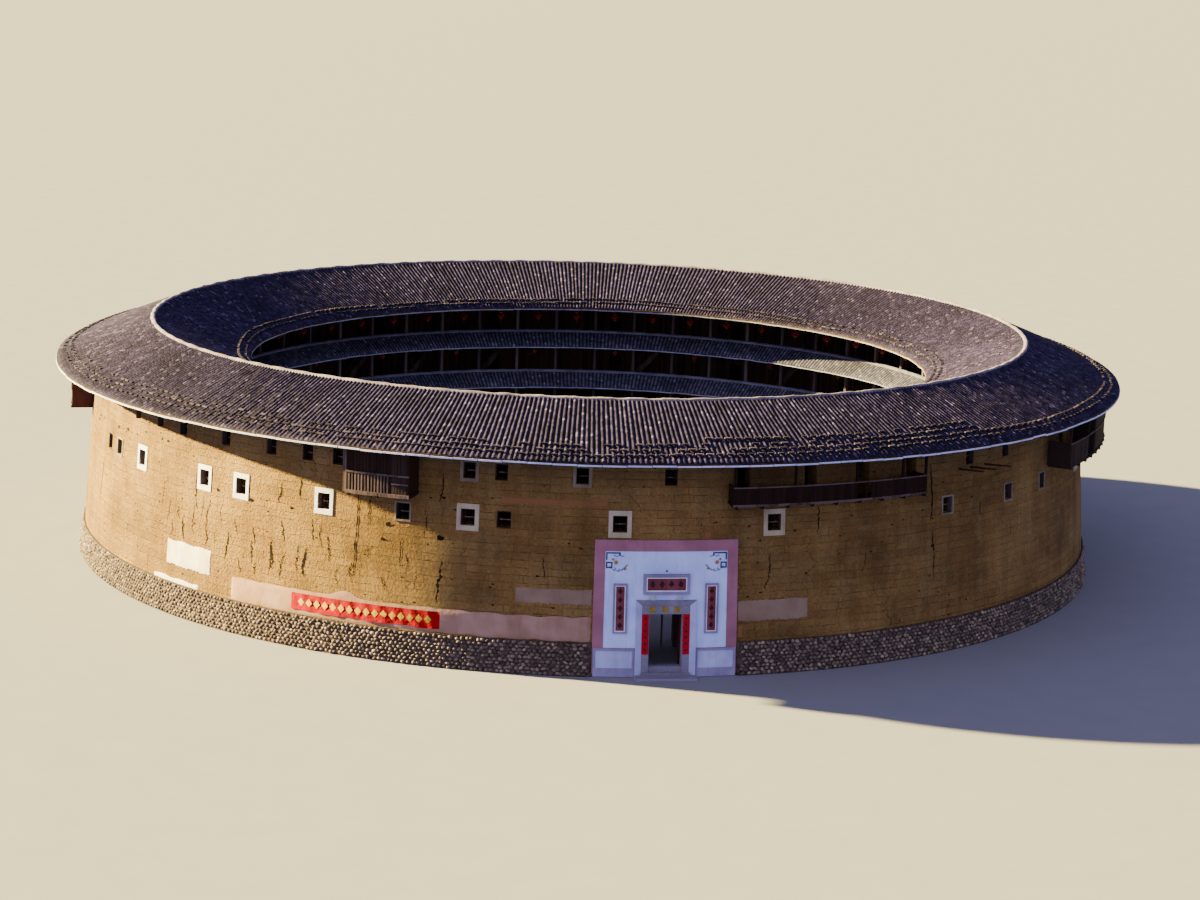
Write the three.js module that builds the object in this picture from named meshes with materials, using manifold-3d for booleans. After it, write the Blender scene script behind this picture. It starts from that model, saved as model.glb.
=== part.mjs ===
import * as THREE from 'three';
import { mergeVertices } from 'three/addons/utils/BufferGeometryUtils.js';
import Module from 'manifold-3d';

// Round rammed-earth roundhouse of four storeys, a model at half of the real size.
// Lengths below are metres of the real building, azimuths are degrees seen from the centre:
// 0 is the gate, which faces -Y, and they grow towards +X. Z 0 is the ground at the wall's foot.
const M = 500;
const GAP = 0.3 / M;
const JOINT = 0.0006;

const BAYS = 54;
const BAY = 360 / BAYS;
const PHASE = -2.5;

const WALL_FOOT = 32.4;
const WALL_BATTER = 0.07;
const WALL_INNER = 30.6;
const PLINTH_TOP = 1.85;
const PLINTH_OUT = 0.2;

const EAVE_OUT = 34.0;
const EAVE_OUT_Z = 12.03;
const RIDGE_R = 28.0;
const RIDGE_UNDER = 14.4;
const EAVE_IN = 21.8;
const EAVE_IN_Z = 11.88;
const ROOF_THICK = 0.16;

const FLOOR_TOPS = [0, 3.66, 5.92, 9.05];
const SKIRT_HEADS = [4.6, 6.87, 9.85];
const FLOOR_THICK = 0.15;
const FLOOR_IN = 24.6;
const POST_R = 24.83;
const POST = 0.2;
const FRONT_R = 26.4;
const FRONT_THICK = 0.1;
const SKIRT_EAVE = 23.3;

const GATE_HALF = 0.92;
const GATE_TOP = 3.5;
const STONE_HALF = 1.335;
const STONE_TOP = 4.14;
const STONE_BACK = -31.9;
const SILL_Z = 0.28;
const TRIM_HALF = 1.66;
const TRIM_TOP = 4.29;
const PANEL_AZ = 6.05;
const PANEL_LOW = 1.6;
const PANEL_TOP = 6.94;
const BORDER_AZ = 7.1;
const BORDER_TOP = 7.55;
const LEAF_AXIS_X = 1.02;
const LEAF_AXIS_Y = -31.835;
const LEAF_THICK = 0.08;
const LEAF_LOW = 0.31;
const LEAF_TOP = 3.6;
const LINTEL_LOW = 3.7;

const wasm = await Module();
wasm.setup();
const rad = THREE.MathUtils.degToRad;
const model = new THREE.Group();

// A closed three.js geometry becomes a solid, turned face-out if it came out inside-out.
function solid(geometry) {
  const g = geometry.clone();
  g.deleteAttribute('normal');
  g.deleteAttribute('uv');
  const m = mergeVertices(g, 1e-4);
  const p = m.attributes.position.array;
  const t = Array.from(m.index.array);
  let volume = 0;
  for (let i = 0; i < t.length; i += 3) {
    const [a, b, c] = [t[i] * 3, t[i + 1] * 3, t[i + 2] * 3];
    volume += p[a] * (p[b + 1] * p[c + 2] - p[b + 2] * p[c + 1]);
    volume += p[a + 1] * (p[b + 2] * p[c] - p[b] * p[c + 2]);
    volume += p[a + 2] * (p[b] * p[c + 1] - p[b + 1] * p[c]);
  }
  if (volume < 0) {
    for (let i = 0; i < t.length; i += 3) {
      [t[i + 1], t[i + 2]] = [t[i + 2], t[i + 1]];
    }
  }
  const vertProperties = new Float32Array(p);
  const triVerts = new Uint32Array(t);
  return new wasm.Manifold(new wasm.Mesh({ numProp: 3, vertProperties, triVerts }));
}

// A ring with the section given as [radius, height] pairs, in flat facets.
function ring(section, facets) {
  const points = section.map(([r, z]) => new THREE.Vector2(r * M, z * M));
  points.push(points[0].clone());
  const g = new THREE.LatheGeometry(points, facets, rad(PHASE), 2 * Math.PI);
  g.rotateX(Math.PI / 2);
  return solid(g);
}

function box(x0, x1, y0, y1, z0, z1) {
  const g = new THREE.BoxGeometry((x1 - x0) * M, (y1 - y0) * M, (z1 - z0) * M);
  g.translate((x0 + x1) * M / 2, (y0 + y1) * M / 2, (z0 + z1) * M / 2);
  return solid(g);
}

// A box that stands square to the radius at an azimuth, between two radii.
function radialBox(az, r0, r1, width, z0, z1) {
  const g = new THREE.BoxGeometry(width * M, (r1 - r0) * M, (z1 - z0) * M);
  g.translate(0, -(r0 + r1) * M / 2, (z0 + z1) * M / 2);
  g.rotateZ(rad(az));
  return solid(g);
}

// A wedge of the whole building between two azimuths, used to cut rings into lengths.
function wedge(a0, a1) {
  const shape = new THREE.Shape();
  shape.moveTo(0, 0);
  const steps = Math.ceil((a1 - a0) / 15);
  for (let i = 0; i <= steps; i += 1) {
    const a = rad(a0 + (a1 - a0) * i / steps);
    shape.lineTo(40 * M * Math.sin(a), -40 * M * Math.cos(a));
  }
  shape.closePath();
  const g = new THREE.ExtrudeGeometry(shape, { depth: 20 * M, bevelEnabled: false });
  g.translate(0, 0, -M);
  return solid(g);
}

// An outline in [y, z] pushed along X.
function prismX(outline, x0, x1) {
  const shape = new THREE.Shape(outline.map(([y, z]) => new THREE.Vector2(y * M, z * M)));
  const g = new THREE.ExtrudeGeometry(shape, { depth: (x1 - x0) * M, bevelEnabled: false });
  g.applyMatrix4(new THREE.Matrix4().set(0, 0, 1, x0 * M, 1, 0, 0, 0, 0, 1, 0, 0, 0, 0, 0, 1));
  return solid(g);
}

function put(name, body, color, roughness = 0.9) {
  const { numProp, vertProperties, triVerts } = body.getMesh();
  const position = new Float32Array(triVerts.length * 3);
  for (let i = 0; i < triVerts.length; i += 1) {
    for (let k = 0; k < 3; k += 1) {
      position[i * 3 + k] = vertProperties[triVerts[i] * numProp + k];
    }
  }
  const g = new THREE.BufferGeometry();
  g.setAttribute('position', new THREE.BufferAttribute(position, 3));
  g.computeVertexNormals();
  const material = new THREE.MeshStandardMaterial({ color, roughness, metalness: 0 });
  const mesh = new THREE.Mesh(g, material);
  mesh.name = name;
  model.add(mesh);
}

const wallR = (z) => WALL_FOOT - WALL_BATTER * z;
const outSlope = (RIDGE_UNDER - EAVE_OUT_Z) / (EAVE_OUT - RIDGE_R);
const inSlope = (RIDGE_UNDER - EAVE_IN_Z) / (RIDGE_R - EAVE_IN);
const underOut = (r) => EAVE_OUT_Z + (EAVE_OUT - r) * outSlope;
const underIn = (r) => EAVE_IN_Z + (r - EAVE_IN) * inSlope;
const bayAz = (i) => PHASE + i * BAY;

// A skin on the wall's outer face, between two depths in front of it.
function wallSkin(d0, d1, z0, z1) {
  const [r0, r1] = [wallR(z0), wallR(z1)];
  return ring([[r0 + d0, z0], [r0 + d1, z0], [r1 + d1, z1], [r1 + d0, z1]], BAYS * 2);
}

// Cobble plinth: one ring with a break behind the plastered gate front.
const plinthSection = [
  [WALL_INNER, 0],
  [WALL_FOOT + PLINTH_OUT, 0],
  [wallR(PLINTH_TOP) + PLINTH_OUT / 2, PLINTH_TOP],
  [WALL_INNER, PLINTH_TOP],
];
const gateWedge = wedge(-BORDER_AZ - 0.05, BORDER_AZ + 0.05);
const plinthBreak = wedge(-BORDER_AZ - 0.05 - JOINT, BORDER_AZ + 0.05 + JOINT);
put('cobble_plinth', ring(plinthSection, BAYS * 2).subtract(plinthBreak), 0x8a7f70);

// Rammed-earth wall: tapering, its head cut to the roof's slope, in six lengths and one
// length over the gate. Window rows are cut through in the third and fourth storeys.
const headLine = WALL_FOOT - WALL_BATTER * (EAVE_OUT_Z + EAVE_OUT * outSlope - GAP);
const headR = headLine / (1 - WALL_BATTER * outSlope);
const wallSection = [
  [WALL_INNER, 0],
  [WALL_FOOT, 0],
  [headR, underOut(headR) - GAP],
  [WALL_INNER, underOut(WALL_INNER) - GAP],
];
const rowThree = [-72.9, -69.5, -63.3, -51.3, -45.8, -35.2, -26.4, -19.7, -16.1, -4.7, 10.9];
rowThree.push(32.2, 42.6, 50.4);
const rowFour = [-65, -59.9, -55.4, -48.4, -42, -37.4, -33.8, -19.7, -16.5, -8.5, 0.25];
rowFour.push(35.7, 42.1);
const lookoutDoors = [[-28, 9.6], [7.6, 9.66], [14.8, 9.66], [21, 9.66], [27, 9.66]];
lookoutDoors.push([56.6, 9.3], [269, 9.3]);
for (let a = 64; a < 275; a += 11.3) {
  rowThree.push(a);
}
for (let a = 75.3; a < 289; a += 9.3) {
  rowFour.push(a);
}
const cuts = [46.5, 113, 181, 258, 306.3];
const nearCut = (a) => cuts.some((c) => Math.abs(((a + 360) % 360) - c) < 1.4);
const nearLookout = (a) => Math.abs(a - 269) < 6;
const holes = [];
for (const a of rowThree.filter((v) => !nearCut(v))) {
  holes.push(radialBox(a, 30, 33, 0.8, 7.93, 8.87));
}
for (const a of rowFour.filter((v) => !nearCut(v) && !nearLookout(v))) {
  holes.push(radialBox(a, 30, 33, 0.7, 10.52, 11.42));
}
for (const [a, z] of lookoutDoors) {
  holes.push(radialBox(a, 30, 33, 0.75, z + GAP, 11.6));
}
const windows = wasm.Manifold.union(holes);
const stoneBox = box(-STONE_HALF - GAP, STONE_HALF + GAP, -35, -29, -1, 20);
const lintelBox = box(-1.6 - GAP, 1.6 + GAP, STONE_BACK, -30, LINTEL_LOW - GAP, STONE_TOP);
const underWall = ring([[29, -1], [35, -1], [35, PLINTH_TOP + GAP], [29, PLINTH_TOP + GAP]], 36);
const plinthZone = underWall.subtract(gateWedge);
const wall = ring(wallSection, BAYS * 2).subtract(plinthZone).subtract(windows);
const sideWall = wall.subtract(stoneBox).subtract(lintelBox);
const ends = [0, ...cuts, 360];
for (let i = 0; i < ends.length - 1; i += 1) {
  const length = sideWall.intersect(wedge(ends[i] + JOINT, ends[i + 1] - JOINT));
  put(`wall_${i + 1}`, length, 0xc98f4a);
}
const overGate = box(-STONE_HALF, STONE_HALF, -35, -29, STONE_TOP + GAP, 20);
put('wall_over_gate', wall.intersect(overGate), 0xc98f4a);

// Gate: stone frame and threshold, timber lintel behind, plaster front, plaques, two leaves.
const stoneFace = (z) => -(wallR(z) + 0.14);
const stone = prismX([
  [STONE_BACK, SILL_Z + GAP],
  [stoneFace(SILL_Z), SILL_Z + GAP],
  [stoneFace(STONE_TOP), STONE_TOP],
  [STONE_BACK, STONE_TOP],
], -STONE_HALF, STONE_HALF);
const gateHole = box(-GATE_HALF, GATE_HALF, -34, -29, 0, GATE_TOP);
put('gate_stone_frame', stone.subtract(gateHole), 0x9c968c);

const step = box(-1.7, 1.7, -33.3, -32.5, 0, 0.14);
const base = box(-STONE_HALF, STONE_HALF, -32.75, -WALL_INNER, 0, SILL_Z);
const sill = box(-GATE_HALF + GAP, GATE_HALF - GAP, -32.38, -32.02, 0.1, 0.58);
put('gate_threshold', base.add(step).add(sill), 0x8f8a80);

const lintelBack = -WALL_INNER;
const lintel = box(-1.6, 1.6, STONE_BACK + GAP, lintelBack, LINTEL_LOW, STONE_TOP - GAP);
put('gate_lintel', lintel, 0x4a3626);

const stoneSpace = box(-STONE_HALF - GAP, STONE_HALF + GAP, -34, -29, -1, STONE_TOP + GAP);
const panelWedge = wedge(-PANEL_AZ, PANEL_AZ);
const plaster = wallSkin(GAP, 0.06, PANEL_LOW, PANEL_TOP).intersect(panelWedge);
const trimBox = box(-TRIM_HALF, TRIM_HALF, -34, -29, -1, 20);
const trim = wallSkin(GAP, 0.11, SILL_Z + 0.05, TRIM_TOP).intersect(trimBox);
put('gate_plaster_panel', plaster.add(trim).subtract(stoneSpace), 0xc9c9d2);

const trimSpace = box(-TRIM_HALF - GAP, TRIM_HALF + GAP, -34, -29, -1, TRIM_TOP + GAP);
const panelGap = wedge(-PANEL_AZ - JOINT, PANEL_AZ + JOINT);
const panelSpace = wallSkin(-0.2, 0.3, PANEL_LOW - GAP, PANEL_TOP + GAP).intersect(panelGap);
const border = wallSkin(GAP, 0.09, 0.15, BORDER_TOP).intersect(wedge(-BORDER_AZ, BORDER_AZ));
put('gate_border', border.subtract(panelSpace).subtract(trimSpace), 0xb98d86);

const boardBox = box(-1.25, 1.25, -34, -29, 4.63, 5.67);
put('gate_plaque', wallSkin(0.06 + GAP, 0.18, 4.63, 5.67).intersect(boardBox), 0x8f3b30);
const scroll = wallSkin(0.06 + GAP, 0.11, 2.45, 5.13);
put('gate_scroll_left', scroll.intersect(wedge(-5.13, -3.88)), 0x9c4136);
put('gate_scroll_right', scroll.intersect(wedge(3.88, 5.13)), 0x9c4136);

// Each plank leaf turns on a heel with a pin below and above. It stands open, inwards.
for (const side of [-1, 1]) {
  const x = side * LEAF_AXIS_X;
  const [y0, y1] = [LEAF_AXIS_Y - 0.03, LEAF_AXIS_Y + LEAF_AXIS_X - 0.006];
  const board = box(x - LEAF_THICK / 2, x + LEAF_THICK / 2, y0, y1, LEAF_LOW, LEAF_TOP);
  const pinLow = SILL_Z + GAP;
  const pinTop = LINTEL_LOW - GAP;
  const pin = new THREE.CylinderGeometry(0.035 * M, 0.035 * M, (pinTop - pinLow) * M, 12);
  pin.rotateX(Math.PI / 2);
  pin.translate(x * M, LEAF_AXIS_Y * M, (pinLow + pinTop) * M / 2);
  const name = side < 0 ? 'gate_leaf_left' : 'gate_leaf_right';
  put(name, board.add(solid(pin)), 0x5b2a1e);
}

// Upper floors, with a stairwell above each flight in the fourth storey's gallery.
const FLIGHT_AZ = [213.6, 201.7, 188.9, 162.5, 137.4];
const FLIGHT_RUN = 2.6;
const STAIR_IN = 25.14;
const STAIR_OUT = 26.06;
const stairwells = FLIGHT_AZ.map((az) => {
  const g = new THREE.BoxGeometry(1.75 * M, (STAIR_OUT - STAIR_IN + 0.04) * M, M);
  const along = FLIGHT_RUN / 2 + GAP - 1.75 / 2;
  g.translate(-along * M, -(STAIR_IN + STAIR_OUT) * M / 2, FLOOR_TOPS[3] * M);
  g.rotateZ(rad(az));
  return solid(g);
});
const floorOut = WALL_INNER - GAP;
for (let i = 1; i < 4; i += 1) {
  const top = FLOOR_TOPS[i];
  const low = top - FLOOR_THICK;
  let floor = ring([[FLOOR_IN, low], [floorOut, low], [floorOut, top], [FLOOR_IN, top]], BAYS);
  if (i === 3) {
    floor = floor.subtract(wasm.Manifold.union(stairwells));
  }
  put(`floor_${i + 1}`, floor, 0x6d4f35);
}

// Gallery frames: one post a bay under a ring beam, in each storey.
for (let i = 0; i < 4; i += 1) {
  const low = i === 0 ? 0 : FLOOR_TOPS[i] + GAP;
  const last = i === 3;
  const [r0, r1] = [POST_R - POST / 2 - 0.02, POST_R + POST / 2 + 0.03];
  const beamTop = last ? underIn(r0) - 0.02 : FLOOR_TOPS[i + 1] - FLOOR_THICK - GAP;
  const beamLow = beamTop - 0.22;
  const parts = [ring([[r0, beamLow], [r1, beamLow], [r1, beamTop], [r0, beamTop]], BAYS)];
  for (let k = 0; k < BAYS; k += 1) {
    parts.push(radialBox(bayAz(k), POST_R - POST / 2, POST_R + POST / 2, POST, low, beamLow));
  }
  put(`gallery_frame_${i + 1}`, wasm.Manifold.union(parts), 0x4b3524);
}

// Skirt roofs: a plank parapet that carries a short tiled slope, one for each upper storey.
for (let i = 1; i < 4; i += 1) {
  const low = FLOOR_TOPS[i] + GAP;
  const head = SKIRT_HEADS[i - 1];
  const face = POST_R - POST / 2 - GAP;
  const section = [
    [face, low],
    [face, head],
    [SKIRT_EAVE, head - 0.85],
    [SKIRT_EAVE, head - 0.98],
    [24.65, head - 0.15],
    [24.65, low],
  ];
  put(`skirt_roof_${i + 1}`, ring(section, BAYS), 0x4d4745);
}

// Timber room fronts behind the galleries, with a doorway in every third bay.
for (let i = 0; i < 4; i += 1) {
  const low = i === 0 ? 0 : FLOOR_TOPS[i] + GAP;
  const top = i === 3 ? 11.9 : FLOOR_TOPS[i + 1] - FLOOR_THICK - GAP;
  const [r0, r1] = [FRONT_R, FRONT_R + FRONT_THICK];
  const front = ring([[r0, low], [r1, low], [r1, top], [r0, top]], BAYS / 2);
  const doors = [];
  for (let k = 1; k < BAYS; k += 3) {
    const az = bayAz(k + 0.5);
    doors.push(radialBox(az, r0 - 0.4, r1 + 0.3, 0.85, low - 0.1, low + 1.95));
  }
  if (i === 0) {
    doors.push(box(-1.5, 1.5, -27, -25, -1, 2.5));
  }
  put(`room_front_${i + 1}`, front.subtract(wasm.Manifold.union(doors)), 0x3f2c1f);
}

// Flights between the third and fourth storeys: two stringers and twelve open treads.
FLIGHT_AZ.forEach((az, n) => {
  const [z0, z1] = [FLOOR_TOPS[2] + GAP, FLOOR_TOPS[3] - 0.02];
  const half = FLIGHT_RUN / 2;
  const slope = (z1 - z0) / (FLIGHT_RUN - 0.3);
  const outline = [
    [-half, z0],
    [-half + 0.3, z0],
    [half, z1 - 0.3 * slope],
    [half, z1],
    [half - 0.02, z1],
    [-half, z0 + 0.28 * slope],
  ];
  const parts = [];
  for (const r of [STAIR_IN + 0.02, STAIR_OUT - 0.08]) {
    const shape = new THREE.Shape(outline.map(([u, z]) => new THREE.Vector2(-u * M, z * M)));
    const g = new THREE.ExtrudeGeometry(shape, { depth: 0.06 * M, bevelEnabled: false });
    g.rotateX(Math.PI / 2);
    g.translate(0, -r * M, 0);
    g.rotateZ(rad(az));
    parts.push(solid(g));
  }
  for (let k = 1; k <= 12; k += 1) {
    const z = z0 + (z1 - z0) * k / 13;
    const u = -half + 0.12 + (FLIGHT_RUN - 0.3) * k / 13;
    const g = new THREE.BoxGeometry(0.22 * M, (STAIR_OUT - STAIR_IN - 0.12) * M, 0.04 * M);
    g.translate(-u * M, -(STAIR_IN + STAIR_OUT) * M / 2, z * M);
    g.rotateZ(rad(az));
    parts.push(solid(g));
  }
  put(`stair_${n + 1}`, wasm.Manifold.union(parts), 0x5a4330);
});

// Main roof: one tent-shaped ring in two halves, with a mortar ridge cap on it.
const topOut = EAVE_OUT_Z + ROOF_THICK;
const topIn = EAVE_IN_Z + ROOF_THICK;
const topRidge = RIDGE_UNDER + ROOF_THICK;
const roof = ring([
  [EAVE_OUT, EAVE_OUT_Z],
  [EAVE_OUT, topOut],
  [RIDGE_R, topRidge],
  [EAVE_IN, topIn],
  [EAVE_IN, EAVE_IN_Z],
  [RIDGE_R, RIDGE_UNDER],
], BAYS * 2);
put('roof_front', roof.intersect(box(-40, 40, -40, -GAP / 2, 0, 20)), 0x4a4342);
put('roof_back', roof.intersect(box(-40, 40, GAP / 2, 40, 0, 20)), 0x4a4342);
const capHalf = 0.22;
put('roof_ridge', ring([
  [RIDGE_R + capHalf, topRidge - capHalf * outSlope + GAP],
  [RIDGE_R + capHalf - 0.06, topRidge + 0.1],
  [RIDGE_R - capHalf + 0.06, topRidge + 0.1],
  [RIDGE_R - capHalf, topRidge - capHalf * inSlope + GAP],
  [RIDGE_R, topRidge + GAP],
], BAYS * 2), 0x9a8d86);

// Timber lookouts under the outer eave: joists, boarded floor, parapets, rail and posts. A
// closed stretch has boards from the floor to just under the eave and a wall at either end.
function lookout(name, { a0, a1, out, floorZ, railZ, posts, short, parapets, closed }) {
  const [low, thin] = [floorZ - 0.02, 0.07];
  const inner = wallR(floorZ) + GAP + 0.01;
  const foot = wallR(floorZ - 0.12) + GAP;
  const band = (r0, r1, z0, z1, b0, b1) => {
    const section = [[r0, z0], [r1, z0], [r1, z1], [r0, z1]];
    return ring(section, BAYS * 2).intersect(wedge(b0, b1));
  };
  const postTop = underOut(out) - 0.02;
  const boardTop = underOut(out) - 0.07;
  const parts = [band(foot, out, floorZ - 0.12, floorZ, a0, a1)];
  parts.push(band(out - thin, out, railZ - 0.1, railZ, a0, a1));
  for (const [b0, b1] of parapets) {
    parts.push(band(out - thin, out, low, railZ, b0, b1));
  }
  for (const [b0, b1] of closed) {
    parts.push(band(out - 0.12, out - 0.04, low, boardTop, b0, b1));
    for (const az of [b0 + 0.1, b1 - 0.1]) {
      parts.push(radialBox(az, inner, out - 0.05, 0.06, low, boardTop));
    }
  }
  for (const az of [a0 + 0.1, a1 - 0.1]) {
    parts.push(radialBox(az, inner, out - 0.05, 0.06, low, railZ));
  }
  for (const az of [a0 + 0.12, ...posts, a1 - 0.12]) {
    parts.push(radialBox(az, out - 0.14, out - 0.01, 0.12, low, postTop));
  }
  for (const az of short) {
    parts.push(radialBox(az, out - 0.1, out - 0.01, 0.1, low, railZ));
  }
  const joists = Math.max(2, Math.round((a1 - a0) / 2.6));
  for (let k = 0; k <= joists; k += 1) {
    const az = a0 + 0.3 + (a1 - a0 - 0.6) * k / joists;
    const z = floorZ - 0.1;
    parts.push(radialBox(az, wallR(z - 0.14) + GAP, out + 0.08, 0.12, z - 0.14, z));
  }
  put(name, wasm.Manifold.union(parts), 0x5a3d28);
}

lookout('lookout_1', {
  a0: -31.15,
  a1: -24.8,
  out: 33.4,
  floorZ: 9.6,
  railZ: 10.7,
  posts: [-26.6],
  short: [],
  parapets: [[-31.15, -24.8]],
  closed: [[-31.15, -24.8]],
});
lookout('lookout_2', {
  a0: 5.98,
  a1: 27.35,
  out: 32.8,
  floorZ: 9.66,
  railZ: 10.62,
  posts: [12.24, 18.9, 24.33],
  short: [20, 20.7],
  parapets: [[5.98, 18.9], [20.7, 27.35]],
  closed: [],
});
lookout('lookout_3', {
  a0: 51.9,
  a1: 72,
  out: 33.2,
  floorZ: 9.3,
  railZ: 10.65,
  posts: [57.9],
  short: [],
  parapets: [[51.9, 58]],
  closed: [[61, 72]],
});
lookout('lookout_4', {
  a0: 264,
  a1: 274,
  out: 33.05,
  floorZ: 9.3,
  railZ: 10.3,
  posts: [],
  short: [],
  parapets: [[264, 274]],
  closed: [[264, 274]],
});

// Cloth banner hung flat against the earth wall.
put('banner', wallSkin(GAP, 0.02, 2.15, 3.05).intersect(wedge(-38.4, -22.1)), 0xb3261e);

export default model;
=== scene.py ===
import math

import bpy
import numpy as np
from mathutils import Matrix


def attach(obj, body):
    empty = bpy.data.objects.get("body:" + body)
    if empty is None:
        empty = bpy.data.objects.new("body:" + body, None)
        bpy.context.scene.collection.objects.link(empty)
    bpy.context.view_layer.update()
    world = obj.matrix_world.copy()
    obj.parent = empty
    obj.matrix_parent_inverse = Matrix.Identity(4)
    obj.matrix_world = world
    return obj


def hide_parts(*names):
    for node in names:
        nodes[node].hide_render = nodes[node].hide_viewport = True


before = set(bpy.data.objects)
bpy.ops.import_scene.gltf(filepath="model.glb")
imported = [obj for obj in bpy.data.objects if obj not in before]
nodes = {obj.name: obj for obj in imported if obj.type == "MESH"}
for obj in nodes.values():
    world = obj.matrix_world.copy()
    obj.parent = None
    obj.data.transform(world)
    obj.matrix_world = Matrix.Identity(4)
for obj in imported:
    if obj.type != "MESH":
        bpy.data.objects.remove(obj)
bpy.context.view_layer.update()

# Camera
# The view stands high on the slope across from the gate, a little to its left, with a long lens.
# Its place is in metres of the model.
LENS_MM, SENSOR_MM = 84.0, 36.0
EYE = (-12.881, -88.869, 21.264)
HEADING, TILT, LEAN = math.radians(-8.5365), math.radians(90.0) - 0.2006, 0.0326
camera_data = bpy.data.cameras.new("view_from_slope")
camera_data.lens = LENS_MM
camera_data.sensor_width = SENSOR_MM
camera_data.clip_end = 1000.0
camera = bpy.data.objects.new("view_from_slope", camera_data)
bpy.context.scene.collection.objects.link(camera)
stand = Matrix.Translation(EYE)
for angle, axis in ((HEADING, "Z"), (TILT, "X"), (LEAN, "Z")):
    stand = stand @ Matrix.Rotation(angle, 4, axis)
camera.matrix_world = stand
bpy.context.scene.camera = camera

# Rammed earth wall
# Clayey earth beaten in lifts 0.42 m high between boards, in blocks just under 2 m long, never
# plastered. Sizes here and below are metres of the real house, which the model halves.
HALF = 0.5
WALL_MID = 32.0
LIFT = 0.42
BLOCKS = 106
rng = np.random.default_rng(54)


def linear(code):
    """An sRGB hex colour as linear light: each channel by the sRGB curve."""
    part = [int(code[i:i + 2], 16) / 255.0 for i in (1, 3, 5)]
    return [c / 12.92 if c < 0.04045 else ((c + 0.055) / 1.055) ** 2.4 for c in part] + [1.0]


def add(tree, kind, joins, stops=(), **settings):
    """One shader node. Joins gives its inputs, by name or in their own order, a value or another
    node's output; stops are the places and colours of a ramp."""
    made = tree.nodes.new("ShaderNode" + kind)
    for key, value in settings.items():
        setattr(made, key, value)
    for key, value in joins.items() if isinstance(joins, dict) else enumerate(joins):
        if isinstance(value, bpy.types.NodeSocket):
            tree.links.new(value, made.inputs[key])
        else:
            made.inputs[key].default_value = value
    for i, (place_on_ramp, colour) in enumerate(stops):
        ramp = made.color_ramp.elements
        stop = ramp[i] if i < 2 else ramp.new(place_on_ramp)
        stop.position = place_on_ramp
        stop.color = linear(colour)
    return made.outputs


def begin(name):
    """A material with an empty tree, and the piece's own place in real metres."""
    material = bpy.data.materials.new(name)
    material.use_nodes = True
    tree = material.node_tree
    tree.nodes.clear()
    spot = add(tree, "TexCoord", {})["Object"]
    real = add(tree, "Mapping", {"Vector": spot, "Scale": [1 / HALF] * 3})["Vector"]
    return material, tree, real


def surface(tree, colour, roughness, height=None, depth=0.01):
    """The surface of a finish: its colour and roughness, and a relief of so many metres. All
    of them are dusty and matt, so they mirror little."""
    joins = {"Base Color": colour, "Roughness": roughness, "Specular IOR Level": 0.1}
    if height is not None:
        relief = {"Height": height, "Distance": depth, "Strength": 1.0}
        joins["Normal"] = add(tree, "Bump", relief)["Normal"]
    shader = add(tree, "BsdfPrincipled", joins)["BSDF"]
    add(tree, "OutputMaterial", {"Surface": shader})


def dress(material, *names, merge=0.0002, sharp=math.radians(25)):
    """Gives CAD nodes a finish, with their flat facets blended into the round: points closer
    than merge are joined and edges stay where the faces turn by more than sharp."""
    for name in names:
        mesh = nodes[name].data
        mesh.materials.clear()
        mesh.materials.append(material)
        mesh.polygons.foreach_set("use_smooth", np.ones(len(mesh.polygons), bool))
        nodes[name].modifiers.new("join", "WELD").merge_threshold = merge
        nodes[name].modifiers.new("keep_edges", "EDGE_SPLIT").split_angle = sharp


def round_the_house(tree, real):
    """A place's three coordinates, and its angle round the house: the arc tangent of x over
    minus y, which is nothing at the gate."""
    xyz = add(tree, "SeparateXYZ", [real])
    south = add(tree, "Math", (xyz["Y"], -1.0), operation="MULTIPLY")[0]
    return xyz, add(tree, "Math", (xyz["X"], south), operation="ARCTAN2")[0]


def shade(tree, colour, pattern, low, high, darkest, palest):
    """A colour times a pattern that is stretched from its low and high to two shares."""
    share = add(tree, "MapRange", (pattern, low, high, darkest, palest))[0]
    return add(tree, "MixRGB", (1.0, colour, share), blend_type="MULTIPLY")[0]


# Rammed earth: sandy clay, matt and dusty. Its lifts and blocks show as broken thin lines, and
# rain has left pits, upright cracks and, low down, a rough washed-out face.
earth, t, real = begin("rammed_earth")
xyz, turn = round_the_house(t, real)
patterns = []
CLOUDS = ((0.2, 5.0, 0.6), (7.0, 6.0, 0.7), (0.9, 3.0, 0.5), (1.6, 4.0, 0.5), (0.45, 7.0, 0.7))
for scale, detail, rough in CLOUDS:
    cloud = {"Vector": real, "Scale": scale, "Detail": detail, "Roughness": rough}
    patterns.append(add(t, "TexNoise", cloud)["Fac"])
broad, grit, wander, worn, dusty = patterns
level = add(t, "Math", (wander, 0.14, xyz["Z"]), operation="MULTIPLY_ADD")[0]
lift = add(t, "Math", (level, LIFT), operation="DIVIDE")[0]
lift_no = add(t, "Math", [lift], operation="FLOOR")[0]
lift_edge = add(t, "Math", (lift, 0.5), operation="PINGPONG")[0]
seam = add(t, "MapRange", (lift_edge, 0.0, 0.06, 1.0, 0.0))[0]
shift = add(t, "TexWhiteNoise", {"W": lift_no}, noise_dimensions="1D")["Value"]
block = add(t, "Math", (turn, BLOCKS / math.tau, shift), operation="MULTIPLY_ADD")[0]
block_no = add(t, "Math", [block], operation="FLOOR")[0]
block_edge = add(t, "Math", (block, 0.5), operation="PINGPONG")[0]
joint = add(t, "MapRange", (block_edge, 0.0, 0.012, 0.9, 0.0))[0]
cell = add(t, "CombineXYZ", (block_no, lift_no))["Vector"]
own = add(t, "TexWhiteNoise", {"Vector": cell}, noise_dimensions="2D")["Value"]
lines = add(t, "Math", (seam, joint), operation="MAXIMUM")[0]
seen = add(t, "MapRange", (worn, 0.38, 0.58, 0.0, 0.8))[0]
lines = add(t, "Math", (lines, seen), operation="MULTIPLY")[0]

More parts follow.
